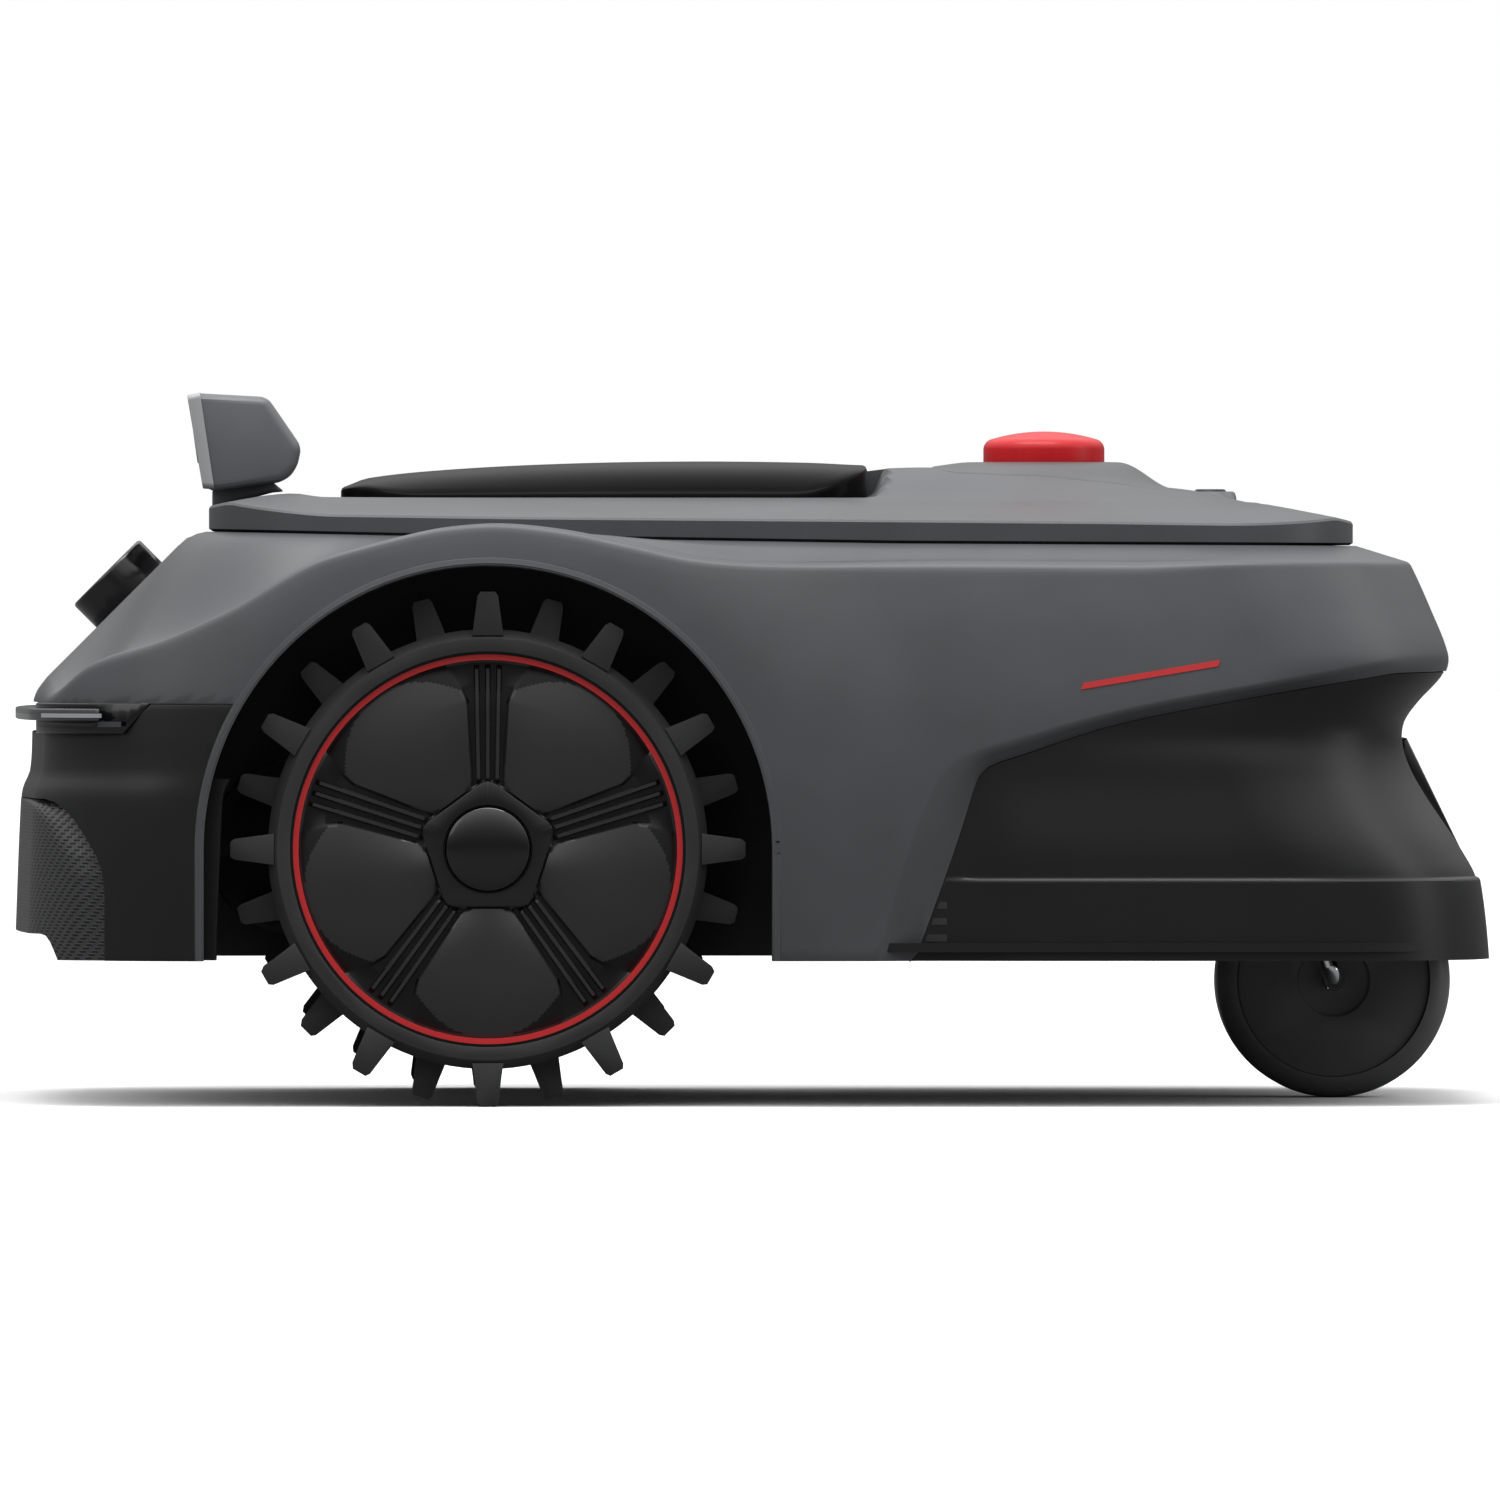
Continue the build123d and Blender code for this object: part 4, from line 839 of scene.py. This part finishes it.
def make_front_backing():
    """Inner wall that closes the nose behind the bumper."""
    rows = nose_rows(SKIRT_Z + 0.2, 110.0, 24, lambda x, z: 9.6, 188.0)
    piece = walled("front_shell_backing", rows, BLACK_WALL)
    carve(piece, notch_prism())
    smooth(piece, 40.0)
    return finish_piece(piece, BLACK, "chassis", "shell_black", "front_shell")


def bumper_rear(z):
    """X of the bumper's visible rear edge at a height."""
    edge = [(70.0, 32.0), (77.7, 31.5), (84.2, 29.2), (89.9, 25.8), (94.8, 22.4), (97.3, 20.3), (99.8, 17.6),
            (101.6, 15.0), (102.6, 11.8)]
    return NOSE_X - line(edge, z)


def make_bumper():
    """Woven bumper skin; its edge runs on under the nose shell, so that it can be pressed in."""
    def inset(x, z):
        return 3.0 * ease(12.0, 2.0, x - bumper_rear(z))

    rows = nose_rows(SKIRT_Z, 103.0, 60, inset, 196.0)
    piece = grid_piece("front_bumper_skin", rows)
    mesh = piece.data
    layer = mesh.uv_layers.new(name="weave")
    columns = len(rows[0])
    along = [0.0]
    for c in range(1, columns):
        a, b = rows[0][c - 1], rows[0][c]
        along.append(along[-1] + hypot(b[0] - a[0], b[1] - a[1]))
    middle = along[-1] / 2
    for loop in mesh.loops:
        index = loop.vertex_index
        reach = abs(along[index % columns] - middle)
        layer.data[loop.index].uv = ((1000.0 - reach) * MM, (1000.0 + rows[index // columns][0][2]) * MM)
    weld(piece, outward=False)
    thicken(piece, NOSE_WALL)
    carve(piece, prism_xz("bumper_keep", bumper_outline(5.0, 0.0), -FAR_Y, FAR_Y), "INTERSECT")
    soften(piece, 0.5, 2, 45.0)
    smooth(piece, 40.0)
    return finish_piece(piece, WEAVE, "bumper", "bumper_weave", "front_bumper")


# ---------------- top panel group
SPINE = [(-204.0, 195.9), (-168.0, 203.7), (-153.0, 207.0), (-136.0, 209.0), (-120.0, 211.5), (-78.0, 214.6),
         (-46.4, 214.6), (-41.0, 212.4), (-20.0, 209.0), (60.0, 208.0), (120.0, 206.8), (138.0, 206.8),
         (152.0, 206.2), (165.0, 204.6), (176.0, 202.5), (182.6, 201.2)]
EDGE_TOP = [(-204.0, 195.2), (-120.0, 196.4), (-49.0, 197.0), (80.0, 198.0), (145.0, 198.9), (182.6, 200.9)]


def panel_height(x, y):
    """Surface of the top panel."""
    t = min(1.0, abs(y) / PANEL_HALF)
    edge = line(EDGE_TOP, x)
    shoulder = min(edge + 7.6 * (1 - t ** 2.4), line(SPINE, x) + 0.5)
    spine = max(0.0, curve(SPINE, x) - shoulder)
    surface = shoulder + spine * (1 - ease(0.20, 0.50, t))
    seat = ease(-48.0, -42.0, x) * ease(160.0, 139.0, x) * ease(86.0, 66.0, abs(y))
    return mix(surface, min(surface, 204.6), seat)


def round_outline(x0, x1, half, corner, steps=12):
    """Rounded rectangle in plan."""
    outline = []
    for cx, cy, turn in ((x1 - corner, half - corner, 0), (x0 + corner, half - corner, 1),
                         (x0 + corner, corner - half, 2), (x1 - corner, corner - half, 3)):
        for i in range(steps + 1):
            a = pi / 2 * (turn + i / steps)
            outline.append((cx + corner * cos(a), cy + corner * sin(a)))
    return outline


def dense(outline, corner_stations, parts):
    """Adds stations along the straight runs, the same number for every ring."""
    out = []
    for i, (a, b) in enumerate(zip(outline, outline[1:] + outline[:1])):
        out.append(a)
        if (i + 1) % corner_stations == 0:
            out += [(mix(a[0], b[0], k / parts), mix(a[1], b[1], k / parts)) for k in range(1, parts)]
    return out


def panel_ring(scale):
    """Stations round the panel's plan, shrunk towards its spine."""
    centre = (PANEL_FRONT + PANEL_REAR) / 2
    half_x = (PANEL_FRONT - PANEL_REAR) / 2 - PANEL_HALF * (1 - scale)
    corner = max(0.5, PANEL_CORNER * scale)
    return dense(round_outline(centre - half_x, centre + half_x, PANEL_HALF * scale, corner, 16), 17, 40)


def make_top_panel():
    outer = panel_ring(1.0)
    rows = [[(x, y, hood_height(x) + 0.2) for x, y in panel_ring(0.992)],
            [(x, y, hood_height(x) + 1.0) for x, y in outer],
            [(x, y, panel_height(x, y) - 0.9) for x, y in outer],
            [(x, y, panel_height(x, y) - 0.15) for x, y in panel_ring(0.9965)]]
    for k in range(46):
        rows.append([(x, y, panel_height(x, y)) for x, y in panel_ring(mix(0.99, 0.02, k / 45))])
    piece = close_ends(grid_piece("top_panel_skin", rows, loop=True))
    carve(piece, plan_prism("window_cut", *window_plan(0.5), 201.0, 240.0))
    carve(piece, plan_prism("control_cut", *control_plan(0.4), 170.0, 240.0))
    smooth(piece, 28.0)
    return finish_piece(piece, GREY_PLAIN, "chassis", "shell_grey", "top_panel")


def window_plan(grow):
    x0, x1 = WINDOW_LOW[0] / MM - grow, WINDOW_HIGH[0] / MM + grow
    half = WINDOW_HIGH[1] / MM + grow
    return x0, x1, half, 26.0


def control_plan(grow):
    low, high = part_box("control_panel")
    return low[0] / MM - grow, high[0] / MM + grow, high[1] / MM + grow, 12.0


def plan_prism(name, x0, x1, half, corner, z0, z1):
    outline = round_outline(x0, x1, half, corner)
    return close_ends(grid_piece(name, [[(x, y, z) for x, y in outline] for z in (z0, z1)], loop=True))


def cover_piece(name, plan, base_z, height, rings=22, edge=1.2):
    """Closed low cover over a rounded plan, with its surface from a height formula."""
    x0, x1, half, corner = plan

    def ring(shrink):
        outline = round_outline(x0 + shrink, x1 - shrink, half - shrink, max(0.3, corner - shrink))
        return dense(outline, 13, 24)

    rows = [[(x, y, base_z) for x, y in ring(0.0)]]
    span = min(half, (x1 - x0) / 2) - 0.4
    levels = [(0.0, edge), (edge * 0.3, edge * 0.3)]
    levels += [(mix(edge, span, k / rings), 0.0) for k in range(rings + 1)]
    for shrink, drop in levels:
        rows.append([(x, y, max(base_z, height(x, y) - drop)) for x, y in ring(shrink)])
    piece = close_ends(grid_piece(name, rows, loop=True), merge=True)
    smooth(piece, 38.0)
    return piece


def make_window():
    top = [(WINDOW_LOW[0] / MM, 215.2), (-20.0, 216.1), (18.7, 216.5), (60.0, 215.8), (100.0, 213.8),
           (128.9, 210.8), (WINDOW_HIGH[0] / MM, 207.6)]
    half = WINDOW_HIGH[1] / MM

    def height(x, y):
        t = min(1.0, abs(y) / half)
        return 205.0 + (curve(top, x) - 205.0) * (1 - t ** 5) + 0.6

    piece = cover_piece("tinted_window_skin", window_plan(0.0), 202.3, height)
    return finish_piece(piece, SMOKED, "chassis", "smoked", "tinted_window")


def make_control_panel():
    def height(x, y):
        r = hypot(x - STOP_X, y)
        surface = panel_height(x, y)
        hump = surface + (216.9 - surface) * ease(44.0, 25.0, r)
        boss = 206.9 - surface
        return hump + boss * ease(12.0, 8.0, hypot(x - POWER_X, y))

    piece = cover_piece("control_panel_skin", control_plan(0.0), 196.6, height, rings=40)
    for x, radius, low in ((STOP_X, STOP_R + 0.3, 208.9), (POWER_X, 5.7, 201.2)):
        carve(piece, round_cutter(radius, x, low))
    for x, radius in ((STOP_X, 9.0), (POWER_X, 3.0)):
        carve(piece, round_cutter(radius, x, 180.0))
    soften(piece, 0.5, 2, 50.0)
    smooth(piece, 38.0)
    return finish_piece(piece, GREY_PLAIN, "chassis", "shell_grey", "control_panel")


def round_cutter(radius, x, low):
    clear_selection()
    bpy.ops.mesh.primitive_cylinder_add(vertices=96, radius=radius * MM, depth=0.06,
                                        location=(x * MM, 0, low * MM + 0.03))
    piece = bpy.context.object
    bpy.ops.object.transform_apply(location=True, rotation=True, scale=True)
    return piece


# ---------------- wheels
def revolve_rows(name, rows, side):
    """Piece from rows of (radius, angle, depth) points about the drive axle, depth from the tyre's face."""
    sign = 1 if side == "left" else -1

    def place(r, a, depth):
        return AXLE_X + r * cos(a), sign * (TYRE_FACE_Y + depth), AXLE_Z + r * sin(a)

    piece = grid_piece(name, [[place(*point) for point in row] for row in rows], loop=True)
    weld(piece, 0.00001)
    return piece


BORE_R = 6.0
HUB_R = 14.4
HUB_SEAT_R = 14.6
SPOKES_R = 22.0
FACE_R = 63.4
RIM_R = 66.4
BARREL_DEPTH = -45.0
SEAT_DEPTH = -4.2
RIBS_FROM = 22.9
RIBS_TO = 61.6


def surround_edge(a):
    """Radius of the five-sided hub surround at an angle, its corners rounded."""
    turn = (a - pi / 2) % (2 * pi / 5)
    reach = 19.3 / cos(abs(turn - pi / 5))
    return reach - 0.9 * ease(22.0, 23.9, reach)


def spoke_lanes(r):
    """Columns across one half spoke and petal at a radius: (angle from the spoke, rib share, petal share)."""
    half = line([(19.0, 5.4), (26.0, 5.4), (50.0, 6.8), (56.0, 9.4), (FACE_R, 13.8)], r)
    spread = line([(22.0, 3.1), (62.0, 3.8)], r)
    lanes = [(0.0, 1), (0.55, 1), (0.95, 0), (spread - 0.95, 0), (spread - 0.55, 1), (spread, 1),
             (spread + 0.55, 1), (spread + 0.95, 0), (half - 0.5, 0)]
    columns = [(asin(v / r), rib, None) for v, rib in lanes]
    first = asin((half + 0.4) / r)
    steps = 24
    columns += [(mix(first, pi / 5, i / steps), 0, i / steps) for i in range(steps + 1)]
    return columns


def face_row(radius_at, nominal, depth_at=None):
    """One ring of points over the wheel's face; every rib edge runs along its own column."""
    row = []
    lanes = spoke_lanes(nominal)
    for k in range(5):
        middle = pi / 2 + 2 * pi * k / 5
        signed = [(-t, rib, petal) for t, rib, petal in lanes[:0:-1]] + lanes[:-1]
        for t, rib, petal in signed:
            a = middle + t
            r = radius_at(a)
            if depth_at is not None:
                depth = depth_at
            elif petal is None:
                height = ease(RIBS_FROM, RIBS_FROM + 0.7, r) * ease(RIBS_TO, RIBS_TO - 0.7, r)
                depth = -4.7 - 0.8 * ease(45.0, 60.0, r) + 1.7 * rib * height
            else:
                depth = -1.1 - 3.4 * ((r - 37.0) / 27.0) ** 2 - 1.9 * (1 - petal) ** 2
            row.append((r, a, depth))
    return row


def make_rim(side):
    """Wheel disc with its barrel: convex petals and ribbed spoke channels."""
    def ring(r, depth):
        return face_row(lambda a: r, max(r, SPOKES_R), depth)

    rows = [ring(BORE_R, BARREL_DEPTH), ring(BORE_R, SEAT_DEPTH), ring(14.5, SEAT_DEPTH)]
    for extra, depth in ((-0.5, SEAT_DEPTH), (0.15, SEAT_DEPTH), (0.7, None)):
        rows.append(face_row(lambda a, extra=extra: surround_edge(a) + extra, SPOKES_R, depth))
    for k in range(1, 5):
        t = k / 4
        rows.append(face_row(lambda a, t=t: mix(surround_edge(a) + 0.7, 25.5, t), mix(SPOKES_R, 25.5, t)))
    for k in range(1, 55):
        r = mix(25.5, FACE_R, k / 54)
        rows.append(face_row(lambda a, r=r: r, r))
    barrel = ((63.5, -5.5), (RIM_R, -5.5), (RIM_R, BARREL_DEPTH), (FACE_R, BARREL_DEPTH), (FACE_R, -10.0),
              (14.0, -9.0), (14.0, BARREL_DEPTH), (BORE_R, BARREL_DEPTH))
    rows += [ring(r, depth) for r, depth in barrel]
    piece = revolve_rows(side + "_rim_face", rows, side)
    smooth(piece, 40.0)
    finish_piece(piece, RIM, side + "_wheel", "rim_black", side + "_rim")
    piece.data.materials.append(CHANNEL)
    for polygon in piece.data.polygons:
        depth = abs(polygon.center.y) / MM - TYRE_FACE_Y
        reach = hypot(polygon.center.x / MM - AXLE_X, polygon.center.z / MM - AXLE_Z)
        if SPOKES_R < reach < 62.5 and -6.2 < depth < -4.3:
            polygon.material_index = 1
    return piece


def make_hub_surround(side):
    """Flat glossy five-sided ring round the hub."""
    angles = [2 * pi * i / 240 for i in range(240)]
    seat = ((HUB_SEAT_R, -5.5), (HUB_SEAT_R, -1.9), (15.0, -1.5))
    rows = [[(r, a, depth) for a in angles] for r, depth in seat]
    for back, depth in ((0.5, -1.5), (0.15, -1.65), (0.0, -2.0), (0.0, -5.5)):
        rows.append([(surround_edge(a) - back, a, depth) for a in angles])
    rows.append([(HUB_SEAT_R, a, -5.5) for a in angles])
    piece = revolve_rows(side + "_hub_surround", rows, side)
    smooth(piece, 35.0)
    return finish_piece(piece, POD, side + "_wheel", "gloss_black")


def make_hub_cap(side):
    """Glossy plain dome in the middle of the wheel."""
    angles = [2 * pi * i / 96 for i in range(96)]
    rows = [[(r, a, -3.6) for a in angles] for r in (0.0, HUB_R)]
    for k in range(25):
        t = pi / 2 * k / 24
        rows.append([(HUB_R * cos(t), a, -2.6 + 3.2 * sin(t)) for a in angles])
    piece = revolve_rows(side + "_hub_dome", rows, side)
    smooth(piece, 50.0)
    return finish_piece(piece, GLOSS, side + "_wheel", "gloss_black", side + "_hub_cap")


# ---------------- camera head and light strips
def make_camera_shell():
    """Camera head behind its bezel, with broad soft edges."""
    n = NOSE_X
    outline = [(n - 60.9, 240.4), (n - 86.5, 239.0), (n - 98.0, 222.2), (n - 96.4, 214.6), (n - 92.0, 210.2),
               (n - 65.8, 206.7)]
    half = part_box("camera_housing")[1][1] / MM
    piece = prism_xz("camera_shell", outline, -half, half)
    soften(piece, 3.0, 4, 20.0)
    smooth(piece, 20.0)
    return finish_piece(piece, CAMERA_GREY, "chassis", "shell_grey", "camera_housing", "camera_rear_cap")


LAMPS = [("lamp_strip", 218.7, 239.1, 130.5, 131.9, 61.35, LED),
         ("lens_end", 213.0, 221.0, 127.4, 129.2, 59.3, BLADE_GLASS)]


def make_light_strips():
    """Thin lamp strip in the light blade and the lens end below it, on both corners."""
    centre_x, centre_y = PLAN[BOW_STATIONS][0] - NOSE_CORNER, SIDE_Y - NOSE_CORNER
    for sign, tag in SIDES:
        for name, x0, x1, z0, z1, radius, material in LAMPS:
            a0, a1 = acos((x1 - centre_x) / NOSE_CORNER), acos((x0 - centre_x) / NOSE_CORNER)
            turns = [mix(a0, a1, i / 24) for i in range(25)]
            rows = [[(centre_x + radius * cos(a), sign * (centre_y + radius * sin(a)), z) for a in turns]
                    for z in (z0, z1)]
            piece = grid_piece(name + "_" + tag, rows)
            thicken(piece, 0.5, side=0.0)
            finish_piece(piece, material, "chassis", "clear_light")


# ---------------- decals
def flank_patch(name, outline_rows, inset, side, proud=0.12):
    """Thin printed patch lying on the flank."""
    rows = []
    for row in outline_rows:
        points = []
        for x, z in row:
            py, pz = flank(x, SIDE_Y, z, inset * (1 - ease(-80.0, -185.0, x)))[1:]
            points.append((x, side * (py + proud), pz))
        rows.append(points)
    piece = grid_piece(name, rows)
    weld(piece)
    thicken(piece, 0.3, side=0.0)
    return piece


STRIPES = ((66.5, 68.9, -134.8), (61.1, 63.4, -138.4), (55.5, 57.9, -142.0))


def make_stripes(side, tag):
    """Three plain slanted strips low on the tail."""
    for number, (low, high, end) in enumerate(STRIPES):
        rows = []
        for z in (low, high):
            start = -54.3 - (z - 49.3) * 18.3 / 50.0 - 1.2
            stop = end + (high - z) * -0.75 + 1.8
            rows.append([(mix(start, stop, i / 40), z) for i in range(41)])
        piece = flank_patch("stripe_%d_%s" % (number + 1, tag), rows, 4.0, side)
        finish_piece(piece, STRIPE, "chassis", "shell_black")


def make_accent(side, tag):
    """Plain thin red bar rising along the flank."""
    slope = 7.6 / 45.0
    rows = []
    for lift in (0.0, 2.2):
        rows.append([(mix(-110.0, -156.0, k / 30) - lift * 0.4, 140.0 + lift + 46.0 * k / 30 * slope)
                     for k in range(31)])
    finish_piece(flank_patch("accent_bar_" + tag, rows, 0.0, side), ACCENT, "chassis", "accent_red")


# ---------------- build
make_body_shell()
for side, tag in SIDES:
    make_arch_lip(side, tag)
make_rear_shell()
make_front_shell()
make_front_backing()
make_wheel_liners()
make_bumper()
make_top_panel()
make_window()
make_control_panel()
for side, tag in SIDES:
    make_stripes(side, tag)
    make_accent(side, tag)

for side, tag in SIDES:
    refined(tag + "_tyre", 0.7, TYRE, tag + "_wheel", "tyre_black")
    make_rim(tag)
    make_hub_surround(tag)
    make_hub_cap(tag)
    paint(tag + "_accent_ring", RING_RED)
    paint(tag + "_axle", STEEL)
    paint(tag + "_gearbox", INNER)
    refined(tag + "_gearbox_cover", 0.8, INNER, "chassis", "inner_black")

make_camera_shell()
make_light_strips()
for node, width, material, body, slot in (("camera_bezel", 0.5, BEZEL, "chassis", "bezel_grey"),
                                          ("camera_neck", 1.0, CAMERA_GREY, "chassis", "shell_black"),
                                          ("sensor_pod", 0.4, POD, "chassis", "gloss_black"),
                                          ("stop_button", 0.5, RED, "stop_push", "button_red"),
                                          ("light_bar_housing", 0.3, GLOSS, "chassis", "gloss_black"),
                                          ("light_bar_lens", 0.5, BLADE_GLASS, "chassis", "clear_light"),
                                          ("caster_hub", 0.6, CASTER, "caster_wheel", "rim_black"),
                                          ("charging_plate", 0.8, GLOSS, "chassis", "gloss_black")):
    refined(node, width, material, body, slot)

for material, nodes in ((GLOSS, ("camera_glass", "camera_lenses")),
                        (LENS, ("sensor_pod_lens",)),
                        (BLACK, ("power_button",)),
                        (CHROME, ("caster_fork",)),
                        (CASTER, ("caster_tyre",)),
                        (CONTACT, ("charging_contacts",)),
                        (INNER, ("chassis_pan", "chassis_lid", "blade_disc", "caster_bearing",
                                 "gearbox_cover_screws")),
                        (STEEL, ("drive_motors", "axle_bearings", "deck_guide_rods", "height_motor",
                                 "height_screw", "blade_screws", "blade_1", "blade_2", "blade_3",
                                 "underside_screws")),
                        (ALLOY, ("deck_motor", "deck_carrier", "deck_bridge")),
                        (SEAL, ("chassis_seal", "body_mounts")),
                        (BOARD, ("main_board",)),
                        (WRAP, ("battery_pack",))):
    for node in nodes:
        paint(node, material)


# ---------------- stage, light, camera
def make_floor():
    clear_selection()
    bpy.ops.mesh.primitive_plane_add(size=60.0, location=(0, 0, 0))
    floor = bpy.context.object
    floor.name = "floor"
    material, shader, surface = new_material("floor_white")
    seen = shader.add("LightPath").outputs["Is Camera Ray"]
    shader.feed(surface, {"Base Color": shader.blend(seen, (0.15, 0.15, 0.15, 1), (0.96, 0.96, 0.96, 1)),
                          "Roughness": 0.9, "Specular IOR Level": 0.1})
    floor.data.materials.append(material)


def soft_light(name, place, aim, size, power, tall=None):
    data = bpy.data.lights.new(name, "AREA")
    data.shape = "RECTANGLE"
    data.size = size
    data.size_y = tall or size
    data.energy = power
    lamp = bpy.data.objects.new(name, data)
    bpy.context.scene.collection.objects.link(lamp)
    lamp.location = place
    lamp.rotation_euler = (Vector(aim) - Vector(place)).to_track_quat("-Z", "Y").to_euler()
    return lamp


def make_studio():
    """Bright overhead dome falling off to the horizon, a white backdrop, and two soft lamps."""
    world = bpy.data.worlds.new("studio")
    bpy.context.scene.world = world
    world.use_nodes = True
    nodes = world.node_tree.nodes
    shader = Shader(world.node_tree)
    sky = shader.add("SeparateXYZ", {"Vector": shader.add("TexCoord").outputs["Generated"]})
    strength = shader.ranged(sky.outputs["Z"], 0.17, 1.75, 0.0, 0.9, interpolation_type="SMOOTHSTEP")
    dome = shader.feed(nodes["Background"], {"Color": (1, 1, 1, 1), "Strength": strength})
    backdrop = shader.add("Background", {"Color": (1, 1, 1, 1)})
    seen = shader.add("LightPath").outputs["Is Camera Ray"]
    views = {"Fac": seen, 1: dome.outputs["Background"], 2: backdrop.outputs["Background"]}
    mixer = shader.add("MixShader", views)
    shader.feed(nodes["World Output"], {"Surface": mixer.outputs["Shader"]})
    soft_light("top_soft", (0.1, 0.35, 1.5), (0, 0, 0.1), 1.3, 14.0, 0.6)
    soft_light("front_soft", (1.3, 0.9, 0.9), (0.1, 0.1, 0.12), 0.7, 1.2)
    soft_light("rear_strip", (-1.5, 0.3, 0.6), (-0.2, 0, 0.12), 0.5, 2.5, 1.2)


def make_view():
    data = bpy.data.cameras.new("view")
    camera = bpy.data.objects.new("view", data)
    bpy.context.scene.collection.objects.link(camera)
    distance = 9.0
    width = 1500 * 0.3353 * MM
    data.sensor_width = 36.0
    data.lens = 36.0 * distance / width
    data.clip_end = 200.0
    near_y = TYRE_FACE_Y * MM
    camera.location = (0.1296, near_y + distance, 0.180)
    aim = Vector((0.0008, near_y, 0.1197))
    camera.rotation_euler = (aim - camera.location).to_track_quat("-Z", "Y").to_euler()
    bpy.context.scene.camera = camera


make_floor()
make_studio()
make_view()
bpy.context.scene.view_settings.view_transform = "Standard"
